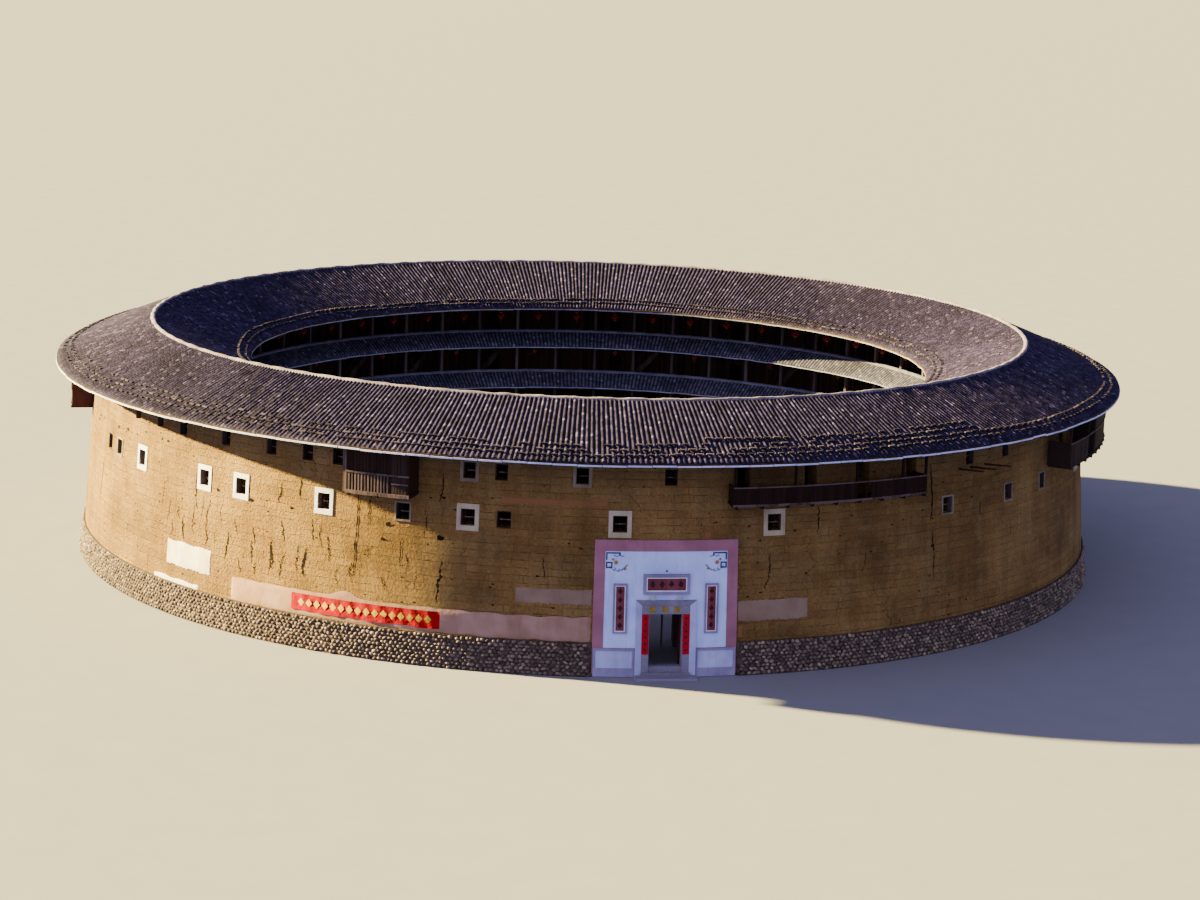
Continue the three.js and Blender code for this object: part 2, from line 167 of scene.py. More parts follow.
# hairline cracks, at most one in each upright strip: the strips round the house, and the width
cracks = 0.0
for columns, thin in ((64, 0.016), (170, 0.008)):
    column = add(t, "Math", (turn, columns / math.tau), operation="MULTIPLY")[0]
    number = add(t, "Math", [column], operation="FLOOR")[0]
    inside = add(t, "Math", [column], operation="FRACT")[0]
    middle = add(t, "TexWhiteNoise", {"W": number}, noise_dimensions="1D")["Value"]
    apart = add(t, "Math", (number, 13.1), operation="MULTIPLY")[0]
    column_place = add(t, "CombineXYZ", (apart, xyz["Z"]))["Vector"]
    bend = {"Vector": column_place, "Scale": 0.8, "Detail": 5.0}
    bend = add(t, "TexNoise", bend, noise_dimensions="2D")["Fac"]
    there = {"Vector": column_place, "Scale": 0.33, "Detail": 1.0}
    there = add(t, "TexNoise", there, noise_dimensions="2D")["Fac"]
    centre = add(t, "Math", (middle, 0.5, bend), operation="MULTIPLY_ADD")[0]
    away = add(t, "Math", (inside, centre), operation="SUBTRACT")[0]
    away = add(t, "Math", (away, 0.25), operation="ADD")[0]
    away = add(t, "Math", [away], operation="ABSOLUTE")[0]
    share = thin * columns / (math.tau * WALL_MID)
    line = add(t, "MapRange", (away, 0.3 * share, share, 1.0, 0.0))[0]
    there = add(t, "MapRange", (there, 0.56, 0.62))[0]
    line = add(t, "Math", (line, there), operation="MULTIPLY")[0]
    cracks = add(t, "Math", (line, cracks), operation="MAXIMUM")[0]

# small pits where a pebble has dropped out, in one of five cells
flat = add(t, "Mapping", {"Vector": real, "Scale": (1.5, 1.5, 3.0)})["Vector"]
chips = add(t, "TexVoronoi", {"Vector": flat, "Scale": 1.0})
chip = add(t, "MapRange", (chips["Distance"], 0.1, 0.16, 1.0, 0.0))[0]
lot = add(t, "SeparateColor", [chips["Color"]])["Red"]
few = add(t, "Math", (lot, 0.78), operation="GREATER_THAN")[0]
chip = add(t, "Math", (chip, few), operation="MULTIPLY")[0]
# the hairline cracks and the pits are painted near black, as the shade inside them
dark_part = add(t, "Math", (cracks, chip), operation="MAXIMUM")[0]

# the rough washed face, strongest up to 4.6 m, and the streaks that the rain leaves
low = add(t, "MapRange", (level, 4.6, 6.6, 0.8, 0.3))[0]
tall = add(t, "Mapping", {"Vector": real, "Scale": (4.6, 4.6, 3.4)})["Vector"]
washed = add(t, "TexNoise", {"Vector": tall, "Scale": 1.0, "Detail": 7.0, "Roughness": 0.68})["Fac"]
washed = add(t, "MapRange", (washed, 0.42, 0.72))[0]
washed = add(t, "Math", (washed, low), operation="MULTIPLY")[0]
rain = add(t, "Mapping", {"Vector": real, "Scale": (1.6, 1.6, 0.1)})["Vector"]
streak = add(t, "TexNoise", {"Vector": rain, "Scale": 1.0, "Detail": 4.0})["Fac"]

# the colour: three tones of clay, dust, streaks and grit, then seams, and painted shade at the eave and in
# pits
blend = add(t, "Math", (own, 0.1, broad), operation="MULTIPLY_ADD")[0]
clay = [(0.36, "#73562b"), (0.72, "#ab8547"), (0.54, "#926e38")]
clay = add(t, "ValToRGB", [blend], stops=clay)[0]
dusty = add(t, "MapRange", (dusty, 0.5, 0.74, 0.0, 0.5))[0]
clay = add(t, "MixRGB", (dusty, clay, linear("#a38d55")))[0]
clay = shade(t, clay, streak, 0.35, 0.6, 0.86, 1.04)
clay = shade(t, clay, grit, 0.3, 0.7, 0.7, 1.22)
# painted shade: the clay darker and greyer from 10.2 m up to the eave
eave_shade = add(t, "MapRange", (level, 10.2, 12.4, 0.0, 0.5))[0]
sunk = add(t, "Math", (washed, 0.3), operation="MULTIPLY")[0]
STAINS_AND_SHADE = ((eave_shade, "#746545"), (lines, "#4d391d"), (sunk, "#614823"), (dark_part, "#2f1f12"))
for share, stain in STAINS_AND_SHADE:
    clay = add(t, "MixRGB", (share, clay, linear(stain)))[0]
rise = add(t, "Math", (grit, 3.2, wander), operation="MULTIPLY_ADD")[0]
for hollow, deep in ((dark_part, -1.3), (washed, -0.35), (lines, -0.9)):
    rise = add(t, "Math", (hollow, deep, rise), operation="MULTIPLY_ADD")[0]
surface(t, clay, 0.95, rise, 0.036)
dress(earth, *[f"wall_{i}" for i in range(1, 7)], "wall_over_gate")

# Cobble plinth
# River stones as big as a head, laid in earth mortar in rough courses, nearly two metres
# high. Each stone is a low dome of eighteen triangles, bedded a little in the mortar.
PLINTH_FOOT, PLINTH_HIGH, PLINTH_LEAN = 32.6, 1.85, 0.2295
COURSES, PER_COURSE = 9, 690
FIRST_COURSE, COURSE_HIGH, BEDDED = 0.13, 0.198, 0.035
GATE_CLEAR = 7.5


def place(az, r, z):
    """Azimuth in degrees, radius and height in real metres, as points of the model."""
    a = np.radians(az)
    return HALF * np.stack(np.broadcast_arrays(r * np.sin(a), -r * np.cos(a), z), -1)


def aside(az, offset):
    """A shift of so many real metres along the wall, square to the radius at an azimuth."""
    a = np.radians(az)
    return HALF * np.asarray(offset)[:, None] * np.stack([np.cos(a), np.sin(a), 0 * a], -1)


def lay_frames(az, wide, deep, high, spin=0.0):
    """Rows along the tangent, outwards and up, each as long as the shape is to be made."""
    a, s = np.radians(az), np.asarray(spin, float)
    flat = np.zeros_like(a)
    along = np.stack([np.cos(a), np.sin(a), flat], -1)
    out = np.stack([np.sin(a), -np.cos(a), flat], -1)
    up = np.stack([flat, flat, flat + 1.0], -1)
    c, n = np.cos(s)[..., None], np.sin(s)[..., None]
    size = [np.broadcast_to(v, a.shape)[..., None] * HALF for v in (wide, deep, high)]
    rows = [(along * c + up * n) * size[0], out * size[1], (up * c - along * n) * size[2]]
    return np.stack(rows, -2)


def copies(shape, faces, frames, at):
    """The same small shape set down once for each frame and place, in one list of points. The
    frames are left-handed, so each face is turned round to keep it facing out."""
    points = np.einsum("nk,mkj->mnj", shape, frames) + at[:, None, :]
    first = (np.arange(len(at)) * len(shape))[:, None, None]
    return points.reshape(-1, 3), [(f[None, :, ::-1] + first).reshape(-1, f.shape[1]) for f in faces]


def piece(name, points, faces, material, smooth=True, tone=None, uv=None):
    """Puts points and faces into a mesh with its finish, and lets it ride on the house."""
    mesh = bpy.data.meshes.new(name)
    mesh.from_pydata(points.tolist(), [], [q for f in faces for q in f.tolist()])
    mesh.polygons.foreach_set("use_smooth", np.full(len(mesh.polygons), smooth))
    if tone is not None:
        layer = mesh.attributes.new("tone", "FLOAT", "POINT")
        layer.data.foreach_set("value", tone.astype(np.float32))
    if uv is not None:
        index = np.empty(len(mesh.loops), np.int32)
        mesh.loops.foreach_get("vertex_index", index)
        layer = mesh.uv_layers.new(name="rows")
        layer.data.foreach_set("uv", uv[index].astype(np.float32).ravel())
    mesh.materials.append(material)
    made = bpy.data.objects.new(name, mesh)
    bpy.context.scene.collection.objects.link(made)
    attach(made, "house")
    return made


def mottled(name, dark, light, scale, roughness, depth, detail=3.0, ends=(0.3, 0.7)):
    """A finish of two near tones in cloudy patches, scale of them to the metre. The patches also
    stand up by so many metres as its relief."""
    material, t, real = begin(name)
    cloud = add(t, "TexNoise", {"Vector": real, "Scale": scale, "Detail": detail})["Fac"]
    tones = [(ends[0], dark), (ends[1], light)]
    colour = add(t, "ValToRGB", [cloud], stops=tones)[0]
    surface(t, colour, roughness, cloud if depth else None, depth)
    return material


# Earth mortar: mud with straw, darker than the stones, so each stone shows by its edge.
mortar = mottled("earth_mortar", "#2b241d", "#57483a", 6.0, 0.97, 0.02, 5.0, (0.35, 0.65))
dress(mortar, "cobble_plinth")

# River cobble: granite and sandstone rolled smooth, dusty, each stone of its own grey or tan.
cobble, t, real = begin("river_cobble")
tone = add(t, "Attribute", {}, attribute_name="tone")["Fac"]
stone = [(0.0, "#4a3e34"), (1.0, "#ad9678"), (0.5, "#776654"), (0.8, "#917d64")]
stone = add(t, "ValToRGB", [tone], stops=stone)[0]
veins = add(t, "TexNoise", {"Vector": real, "Scale": 14.0, "Detail": 4.0})["Fac"]
stone = shade(t, stone, veins, 0.3, 0.7, 0.75, 1.2)
surface(t, stone, 0.8, veins, 0.01)

# one low dome for each stone, set in courses, with its own size, lean and tone
course = np.repeat(np.arange(COURSES), PER_COURSE)
az = (np.tile(np.arange(PER_COURSE), COURSES) + 0.5 * (course % 2)) * 360.0 / PER_COURSE
az = az + rng.uniform(-0.12, 0.12, az.size)
z = FIRST_COURSE + course * COURSE_HIGH + rng.uniform(-0.035, 0.035, az.size)
keep = np.abs((az + 180) % 360 - 180) > GATE_CLEAR
az, z = az[keep], z[keep]
wide = rng.uniform(0.2, 0.36, az.size)
high = rng.uniform(0.15, 0.25, az.size)
proud = rng.uniform(0.08, 0.14, az.size)
lean_angle = rng.uniform(-0.6, 0.6, az.size)
k = np.arange(6)
ring_angle = k * np.pi / 3
low_ring = np.stack([0.5 * np.cos(ring_angle), np.full(6, 0.0), 0.5 * np.sin(ring_angle)], -1)
top_ring = low_ring * [0.68, 1.0, 0.68] + [0, 0.72, 0]
dome = np.vstack([low_ring, top_ring, [[0.0, 1.0, 0.0]]])
sides = np.stack([k, k + 6, (k + 1) % 6 + 6, (k + 1) % 6], -1)
cap = np.stack([k + 6, np.full(6, 12), (k + 1) % 6 + 6], -1)
r = PLINTH_FOOT - (PLINTH_LEAN / PLINTH_HIGH) * z - BEDDED
frames = lay_frames(az, wide, proud, high, lean_angle)
points, faces = copies(dome, [sides, cap], frames, place(az, r, z))
points[:, 2] = points[:, 2].clip(0.001, HALF * (PLINTH_HIGH + 0.02))
tones = np.repeat(rng.beta(1.6, 2.0, az.size), len(dome))
piece("plinth_cobbles", points, faces, cobble, tone=tones)

# Lime wash on the wall
# Bands of pink and of white lime were brushed on the earth beside the gate and near the
# ground. They are thin coats with a ragged edge, stained by the rain.
WALL_FOOT, BATTER = 32.4, 0.07


def weave(rows, cols, closed=False):
    """Quads between the points of a grid, row after row; a closed one joins its last column."""
    i = np.arange(rows - 1)[:, None] * cols
    j = np.arange(cols if closed else cols - 1)[None, :]
    n = (j + 1) % cols
    return np.stack([i + j, i + n, i + n + cols, i + j + cols], -1).reshape(-1, 4)


def coat(az0, az1, z0, z1, hump=(0.0, 0.0), lift_off=0.02, ragged=0.04, steps=(90, 8)):
    """A thin skin on the battered wall: azimuth and height on a grid, its rim set into the wall.
    Its top edge may rise in one smooth hump, a bell curve at an azimuth."""
    u, v = np.meshgrid(np.linspace(0, 1, steps[0]), np.linspace(0, 1, steps[1]))
    rim = (u == 0) | (u == 1) | (v == 0) | (v == 1)
    az = az0 + (az1 - az0) * u
    low = z0 + ragged * np.sin(u * 23.0 + az0) * np.sin(u * 57.0)
    high = z1 + ragged * np.sin(u * 31.0 + az1) * np.cos(u * 47.0)
    high = high + hump[1] * np.exp(-((az - hump[0]) / 1.2) ** 2)
    z = low + (high - low) * v
    az = az + np.where((u == 0) | (u == 1), 1.2 * ragged * np.sin(v * 17.0), 0)
    r = WALL_FOOT - BATTER * z + np.where(rim, -0.03, lift_off)
    return place(az, r, z).reshape(-1, 3), weave(steps[1], steps[0])


def together(name, parts, material, smooth=False):
    """Joins lists of points and quads into one piece."""
    starts = np.cumsum([0] + [len(p) for p, _ in parts[:-1]])
    quads = [q + s for (_, q), s in zip(parts, starts)]
    return piece(name, np.vstack([p for p, _ in parts]), quads, material, smooth)


def lime(name, pale, deep, stain):
    """Lime wash: a chalky coat of two near tones, with run-down stains of a third."""
    material, t, real = begin(name)
    cloud = add(t, "TexNoise", {"Vector": real, "Scale": 0.8, "Detail": 5.0})["Fac"]
    chalk = add(t, "ValToRGB", [cloud], stops=[(0.35, deep), (0.65, pale)])[0]
    run = add(t, "Mapping", {"Vector": real, "Scale": (2.5, 2.5, 0.35)})["Vector"]
    dirt = add(t, "TexNoise", {"Vector": run, "Scale": 1.0, "Detail": 6.0, "Roughness": 0.65})["Fac"]
    dirt = add(t, "MapRange", (dirt, 0.52, 0.75, 0.0, 0.5))[0]
    chalk = add(t, "MixRGB", (dirt, chalk, linear(stain)))[0]
    trowel = add(t, "TexNoise", {"Vector": real, "Scale": 3.0, "Detail": 5.0})["Fac"]
    surface(t, chalk, 0.92, trowel, 0.008)
    return material


# Lime wash: slaked lime and water, brushed on thin, chalky and matt. The pink one has red earth
# in it, its worn bands let the clay through, and the old red one has nearly gone back to clay.
pink_wash = lime("pink_lime_wash", "#b08a70", "#9a755a", "#7b5e46")
faint_wash = lime("worn_pink_wash", "#957b62", "#876c52", "#735a40")
white_wash = lime("white_lime_wash", "#e4dccb", "#cbbfa4", "#8a7248")
red_wash = lime("old_red_wash", "#8f6238", "#845a32", "#7d5733")

# each coat by its two azimuths, its foot and its top
bands = [coat(-46.5, -7.2, 1.8, 3.3, hump=(-32.3, 0.42), steps=(150, 8))]
together("wash_bands_pink", bands, pink_wash, smooth=True)
faint = [coat(-14.7, -7.2, 3.88, 4.78), coat(7.2, 14.7, 2.9, 4.18), coat(72.0, 75.5, 2.4, 6.4)]
together("wash_bands_worn", faint, faint_wash, smooth=True)
splashes = [coat(3.7, 4.4, 7.62, 8.05, steps=(12, 6)), coat(7.15, 7.5, 6.15, 6.45, steps=(12, 6))]
splashes += [coat(7.25, 7.8, 2.0, 2.8, steps=(12, 6)), coat(7.1, 7.35, 4.75, 5.0, steps=(12, 6))]
together("wash_splashes", splashes, red_wash, smooth=True)
whites = [coat(-57.0, -49.6, 2.8, 4.4), coat(-59.3, -51.3, 1.76, 2.16, steps=(50, 4))]
together("wash_patch_white", whites, white_wash, smooth=True)
old_red = [coat(-16.4, -5.9, 9.3, 9.68, lift_off=0.004)]
together("wash_band_old_red", old_red, red_wash, smooth=True)

# Wide cracks and putlog holes
# Rain has opened the joints between the earth blocks, and the poles that held the formwork left
# rows of short holes. Both are sheets of painted shade on the wall: dark ragged marks that taper to nothing.

# Earth out of the light: painted shade, the same clay nearly black as it looks deep in a crack or a hole.
crack_shades = ("#0d0805", "#2b1c10")
shaded_earth = mottled("painted_shade_in_a_crack", *crack_shades, 16.0, 0.97, 0.01, ends=(0.35, 0.7))


def crack(az, z_top, z_low, wide):
    """A strip down the wall: its middle wanders sideways by a running sum of small steps, and its
    width is the root of a sine down its length, times a random share."""
    v = np.linspace(0, 1, 30)
    z = z_top + (z_low - z_top) * v
    sway = np.cumsum(rng.normal(0, 0.03, v.size))
    half = 0.75 * wide * np.sqrt(np.sin(np.pi * v.clip(0.001, 0.999))) * rng.uniform(0.25, 1.1, v.size)
    side = sway[:, None] + half[:, None] * np.array([-1.0, 1.0])
    az = az + np.degrees(side / WALL_MID)
    spot = place(az, (WALL_FOOT - BATTER * z + 0.005)[:, None], z[:, None])
    return spot.reshape(-1, 3), weave(30, 2)[:, ::-1]


# azimuth, top, foot and width of each large crack; the sunlit left has small ones between them
OPENED = [
    (-31.4, 9.3, 4.2, 0.08), (-29.9, 9.3, 7.4, 0.06), (-22.3, 10.7, 9.0, 0.07), (-22.2, 6.0, 3.4, 0.14),
    (-23.8, 8.6, 7.0, 0.05), (-54.4, 5.7, 4.5, 0.1), (-50.75, 5.9, 4.7, 0.08), (-47.2, 5.7, 3.9, 0.08),
    (-44.0, 5.5, 4.2, 0.08), (-41.4, 5.8, 4.1, 0.1), (-37.0, 5.7, 4.0, 0.12), (-52.8, 8.6, 6.4, 0.09),
    (-57.0, 6.6, 5.2, 0.05), (-40.4, 9.1, 7.9, 0.08), (-38.0, 9.6, 8.2, 0.06), (-12.0, 6.6, 5.2, 0.05),
    (15.6, 9.2, 7.6, 0.07), (10.5, 6.7, 4.6, 0.06), (29.8, 10.9, 7.6, 0.1), (29.7, 7.2, 4.2, 0.07),
    (37.4, 8.3, 7.4, 0.06), (43.0, 6.6, 5.4, 0.04), (21.3, 6.4, 5.2, 0.04), (80.0, 8.4, 5.9, 0.08),
    (105.0, 7.0, 3.5, 0.08), (141.0, 9.4, 6.2, 0.07), (166.0, 6.6, 3.6, 0.09), (197.0, 8.9, 5.1, 0.08),
    (224.0, 6.2, 3.2, 0.09), (239.0, 9.0, 6.9, 0.06), (252.0, 7.4, 4.1, 0.08), (285.0, 7.2, 4.4, 0.08),
]
for a in np.arange(-58.0, -23.0, 1.25):
    foot = rng.uniform(3.4, 6.2)
    OPENED.append((a + rng.uniform(-0.5, 0.5), foot + rng.uniform(0.7, 1.9), foot, rng.uniform(0.03, 0.08)))
together("wall_cracks", [crack(*one) for one in OPENED], shaded_earth)

# azimuth, height and width of each hole; round the back they follow in a wavering row
HOLES = [
    (-78.2, 9.43, 0.3), (-76.0, 9.47, 0.3), (-70.3, 9.51, 0.34), (-67.5, 9.67, 0.32), (-65.0, 9.63, 0.22),
    (-62.9, 9.96, 0.26), (-59.3, 9.89, 0.26), (-58.1, 9.89, 0.28), (-49.1, 7.89, 0.32),
    (-44.3, 7.74, 0.36), (-39.0, 7.73, 0.28), (-27.9, 7.6, 0.36), (-28.4, 6.74, 0.32),
    (-22.4, 7.12, 0.5), (-42.0, 7.3, 0.18), (-22.2, 9.35, 0.28), (-19.0, 9.0, 0.16), (-12.6, 5.4, 0.22),
    (4.1, 9.0, 0.12), (4.9, 8.5, 0.16), (5.5, 8.75, 0.12), (20.0, 9.15, 0.1), (18.2, 7.4, 0.14),
    (30.0, 6.2, 0.3), (36.0, 8.6, 0.2), (34.5, 7.0, 0.14), (24.5, 8.9, 0.12), (12.5, 7.0, 0.1),
    (9.2, 6.2, 0.14), (40.5, 9.6, 0.16),
]
HOLES += [(a, 9.5 + 0.4 * math.sin(a), 0.2 + 0.1 * math.cos(7 * a)) for a in range(92, 282, 7)]
around = np.arange(9) * 2 * np.pi / 9
fan = np.stack([np.cos(around) * 0.5, 0 * around, np.sin(around) * 0.5], -1) * rng.uniform(0.75, 1.1, (9, 1))
fan = np.vstack([fan, [[0.0, 0.0, 0.0]]])
fan_faces = np.stack([np.full(9, 9), (np.arange(9) + 1) % 9, np.arange(9)], -1)
az, z, wide = np.array(HOLES).T
frames = lay_frames(az, wide, 0.0, wide * rng.uniform(0.5, 0.8, az.size), rng.uniform(-0.5, 0.5, az.size))
points, faces = copies(fan, [fan_faces], frames, place(az, WALL_FOOT - BATTER * z + 0.008, z))
piece("wall_putlog_holes", points, faces, shaded_earth, smooth=False)

# Windows
# Square holes through the earth. Some have a broad white lime surround brushed on the wall, and
# all have a timber casing deep in the hole with upright bars and a cross rail.
ROW_THREE = [-72.9, -69.5, -63.3, -51.3, -45.8, -35.2, -26.4, -19.7, -16.1, -4.7, 10.9, 32.2, 42.6, 50.4]
ROW_FOUR = [-65, -59.9, -55.4, -48.4, -42, -37.4, -33.8, -19.7, -16.5, -8.5, 0.25, 35.7, 42.1]
WALL_JOINTS = np.array([46.5, 113, 181, 258, 306.3])
THIRD_Z, FOURTH_Z, HOLE_HIGH = 8.4, 10.97, 0.92
THIRD_HOLE, FOURTH_HOLE = (0.79, HOLE_HIGH), (0.69, 0.88)


def kept(azimuths):
    """The windows of a row that stand clear of the joints between the wall's lengths."""
    return [a for a in azimuths if np.abs((a + 360) % 360 - WALL_JOINTS).min() >= 1.4]


row_three = kept(ROW_THREE + list(np.arange(64, 275, 11.3)))
row_four = kept(ROW_FOUR + [a for a in np.arange(75.3, 289, 9.3) if abs(a - 269) >= 6])
BOX = np.array([[x, y, z] for z in (-0.5, 0.5) for y in (-0.5, 0.5) for x in (-0.5, 0.5)])
BOX_FACES = [[0, 1, 5, 4], [3, 2, 6, 7], [2, 0, 4, 6], [1, 3, 7, 5], [4, 5, 7, 6], [2, 3, 1, 0]]


def boxes(name, rows, material, tone=None):
    """Straight members as one piece: rows of azimuth, tangent offset, radius, height and three
    sizes, along the tangent, outwards and up."""
    az, side, r, z, wide, deep, high = np.array(rows, float).T
    frames = lay_frames(az, wide, deep, high)
    points, faces = copies(BOX, [np.array(BOX_FACES)], frames, place(az, r, z) + aside(az, side))
    tones = None if tone is None else np.repeat(tone, len(BOX))
    return piece(name, points, faces, material, smooth=False, tone=tones)


def surrounds(name, openings, hole, outer, material):
    """A flat border round each hole: outer and inner rectangles, a front face and its rims."""
    (hw, hh), (ow, oh) = hole, outer
    corner = np.array([[-1, -1], [1, -1], [1, 1], [-1, 1]], float)
    outer_xz, inner_xz = corner * [ow / 2, oh / 2], corner * [hw / 2, hh / 2]
    rings = [(outer_xz, -0.06), (outer_xz, 0.025), (inner_xz, 0.03), (inner_xz, -0.12)]
    shape = [np.column_stack([xz[:, 0], np.full(4, depth), xz[:, 1]]) for xz, depth in rings]
    az = np.array([a for a, _ in openings])
    z = np.array([h for _, h in openings])
    shapes = np.repeat(np.vstack(shape)[None], len(az), 0)
    shapes[:, :, 1] -= BATTER * shapes[:, :, 2]
    at = place(az, WALL_FOOT - BATTER * z, z)
    points = np.einsum("mnk,mkj->mnj", shapes, lay_frames(az, 1.0, 1.0, 1.0)) + at[:, None, :]
    first = (np.arange(len(az)) * 16)[:, None, None]
    quads = (weave(4, 4, True)[None] + first).reshape(-1, 4)
    return piece(name, points.reshape(-1, 3), [quads], material, smooth=False)


# Surround lime: several coats, nearly white where it is kept up, cream where it has aged, grey
# and thin where it is old. The cream is also painted darker, as shade on the surrounds out of the sun.
surround_lime = lime("surround_lime", "#f2f0ec", "#e2ded4", "#a99878")
old_lime = lime("old_surround_lime", "#8f7f64", "#77684d", "#5c4c34")
aged_lime_painted_shade = lime("aged_surround_lime_painted_shade", "#c2b18c", "#aa9871", "#806c49")

# windows by azimuth and height; each kind has its hole, the surround's outer edge and a lime
# the aged ones, out of the sun, take the cream with painted shade; the slim sunlit ones the white
aged = [(a, THIRD_Z) for a in [-19.7, -4.7, 10.9] + row_three[14::3]]
slim = [(a, THIRD_Z) for a in (-63.3, -51.3, -45.8, -35.2)]
thin = [(a, THIRD_Z) for a in (-69.5, -26.4, 32.2, 42.6, 50.4)]
high = [(a, FOURTH_Z) for a in (-19.7, -8.5)]
surrounds("window_surrounds", aged, THIRD_HOLE, (1.26, 1.48), aged_lime_painted_shade)
surrounds("window_surrounds_slim", slim, THIRD_HOLE, (1.2, 1.46), surround_lime)
surrounds("window_surrounds_thin", thin, THIRD_HOLE, (0.98, 1.12), old_lime)
surrounds("window_surrounds_high", high, FOURTH_HOLE, (1.05, 1.25), old_lime)


def timber(name, dark, light, board=0.2, around=26.0, groove=0.5):
    """Unpainted timber: boards of one width round the building, each of its own tone, with the
    grain along them and a dark gap between two."""
    material, t, real = begin(name)
    turn = round_the_house(t, real)[1]
    arc = add(t, "Math", (turn, around / board), operation="MULTIPLY")[0]
    board_no = add(t, "Math", [arc], operation="FLOOR")[0]
    own = add(t, "TexWhiteNoise", {"W": board_no}, noise_dimensions="1D")["Value"]
    edge = add(t, "Math", (arc, 0.5), operation="PINGPONG")[0]
    gap = add(t, "MapRange", (edge, 0.0, 0.06, groove, 0.0))[0]
    stretched = add(t, "Mapping", {"Vector": real, "Scale": (9.0, 9.0, 0.8)})["Vector"]
    grain = add(t, "TexNoise", {"Vector": stretched, "Scale": 1.0, "Detail": 5.0})["Fac"]
    mixed = add(t, "Math", (own, grain), operation="ADD")[0]
    mixed = add(t, "MapRange", (mixed, 0.4, 1.5))[0]
    wood = add(t, "ValToRGB", [mixed], stops=[(0.0, dark), (1.0, light)])[0]
    wood = add(t, "MixRGB", (gap, wood, linear("#0d0805")))[0]
    relief = add(t, "Math", (gap, -1.0, grain), operation="MULTIPLY_ADD")[0]
    surface(t, wood, 0.85, relief, 0.008)
    return material


# China fir, sawn and left bare: straight grain, dark with smoke inside. The cross rails are a grey
# fir made paler as painted light from the sun; the linings lie half way in, dark with painted shade.
fir_dark = timber("fir_dark_with_smoke", "#1c120c", "#3f2b1e")
fir_rail_painted_light = timber("fir_rail_grey_painted_light", "#5c4c3e", "#8f7c68")
lining_painted_shade = timber("fir_window_lining_painted_shade", "#2c2320", "#574b46")

# each casing: two posts and two rails, three bars, a cross rail, and boards that line the hole
bars, rails, linings = [], [], []
for a, z, w in [(a, THIRD_Z, 0.8) for a in row_three] + [(a, FOURTH_Z, 0.7) for a in row_four]:
    r = WALL_FOOT - BATTER * z - 0.42
    bars += [[a, s * (w / 2 - 0.035), r, z, 0.07, 0.09, 0.9] for s in (-1, 1)]
    bars += [[a, 0, r, z + s * 0.415, w - 0.14, 0.09, 0.07] for s in (-1, 1)]
    bars += [[a, s * w / 4.6, r + 0.01, z, 0.035, 0.04, 0.78] for s in (-1, 0, 1)]
    rails += [[a, 0.04, r + 0.08, z - 0.06, w - 0.2, 0.03, 0.05]]
    linings += [[a, s * (w / 2 - 0.016), r + 0.22, z, 0.028, 0.33, 0.9] for s in (-1, 1)]
    linings += [[a, 0, r + 0.22, z + 0.437, w - 0.07, 0.33, 0.022]]
boxes("window_casings", bars, fir_dark)
boxes("window_linings", linings, lining_painted_shade)
boxes("window_cross_rails", rails, fir_rail_painted_light)

# Gate
# The stone door frame stands in a bluish white lime panel with a rose border, made proud of
# the wall. A splayed lime moulding leads in to it. A sign board hangs over it and two upright
# boards beside it, each with one row of plain lozenges.

# Gate lime: slaked lime with a little indigo or red earth in it, trowelled smooth, chalky. The
# panel's is bluish white, the dados' lavender, the mouldings' mauve, the border's rose.
white_panel = lime("bluish_white_lime", "#d9e2fb", "#c4d0f0", "#a8abc2")
dado_lime = lime("lavender_lime", "#c3c3da", "#aaa9c4", "#8c8694")
mauve = lime("mauve_lime", "#9c91a6", "#84798e", "#6c6472")
# the mauve in the reveal is a darker copy, painted shade, for the splay's head and the lintel
shaded_mauve = lime("mauve_lime_painted_shade", "#948a92", "#7c737b", "#635d60")
border_lime = lime("rose_border_lime", "#ae7379", "#9b646a", "#7f5a5f")
dress(white_panel, "gate_plaster_panel")
dress(border_lime, "gate_border")

# Dressed granite: chiselled flat, grey with a violet cast, flecked with mica and worn smooth.
granite_ends = (0.35, 0.65)
granite = mottled("dressed_granite", "#6a6169", "#9a929a", 30.0, 0.75, 0.004, ends=granite_ends)
dress(granite, "gate_stone_frame", "gate_threshold")

# Iron oxide paint on board: a dusty brownish red, brushed on thin and dulled by the weather.
oxide_board = timber("oxide_red_board", "#6f3238", "#8d454a", board=0.5, groove=0.1)
# Camphor planks: thick boards stained dark red, worn by hands, with open joints.
door_plank = timber("camphor_door_plank", "#3a140d", "#5e2a1c", board=0.18, around=32.0)
dress(oxide_board, "gate_plaque", "gate_scroll_left", "gate_scroll_right")
dress(door_plank, "gate_leaf_left", "gate_leaf_right")
dress(fir_dark, "gate_lintel")


def bar(x0, x1, section, turned_in=None, cols=5, flat=False, spread=(0, 0, 0, 0)):
    """A closed bar on the gate's face: a section of height and proudness for each corner carried
    sideways from x0 to x1, blended into a second section where one is given. It follows the
    round wall, or lies flat on the stone frame. Spread moves a corner's two ends outwards."""
    u = np.linspace(0, 1, cols)[:, None]
    first = np.array(section, float)
    last = first if turned_in is None else np.array(turned_in, float)
    z = first[:, 0] * (1 - u) + last[:, 0] * u
    proud = first[:, 1] * (1 - u) + last[:, 1] * u
    x = x0 + (x1 - x0) * u + (2 * u - 1) * np.array(spread, float)
    r = WALL_FOOT - BATTER * z + proud
    spot = HALF * np.stack([x, -r if flat else -np.sqrt(r * r - x * x), z], -1)
    n = len(first)
    ends = [np.arange(n)[None], (np.arange(n)[::-1] + n * (cols - 1))[None]]
    return spot.reshape(-1, 3), np.vstack([weave(cols, n, True)[:, ::-1], *ends])


def rectangle(z0, z1, low, high):
    """The section of a flat bar: four corners of height and proudness."""
    return [(z0, low), (z0, high), (z1, high), (z1, low)]


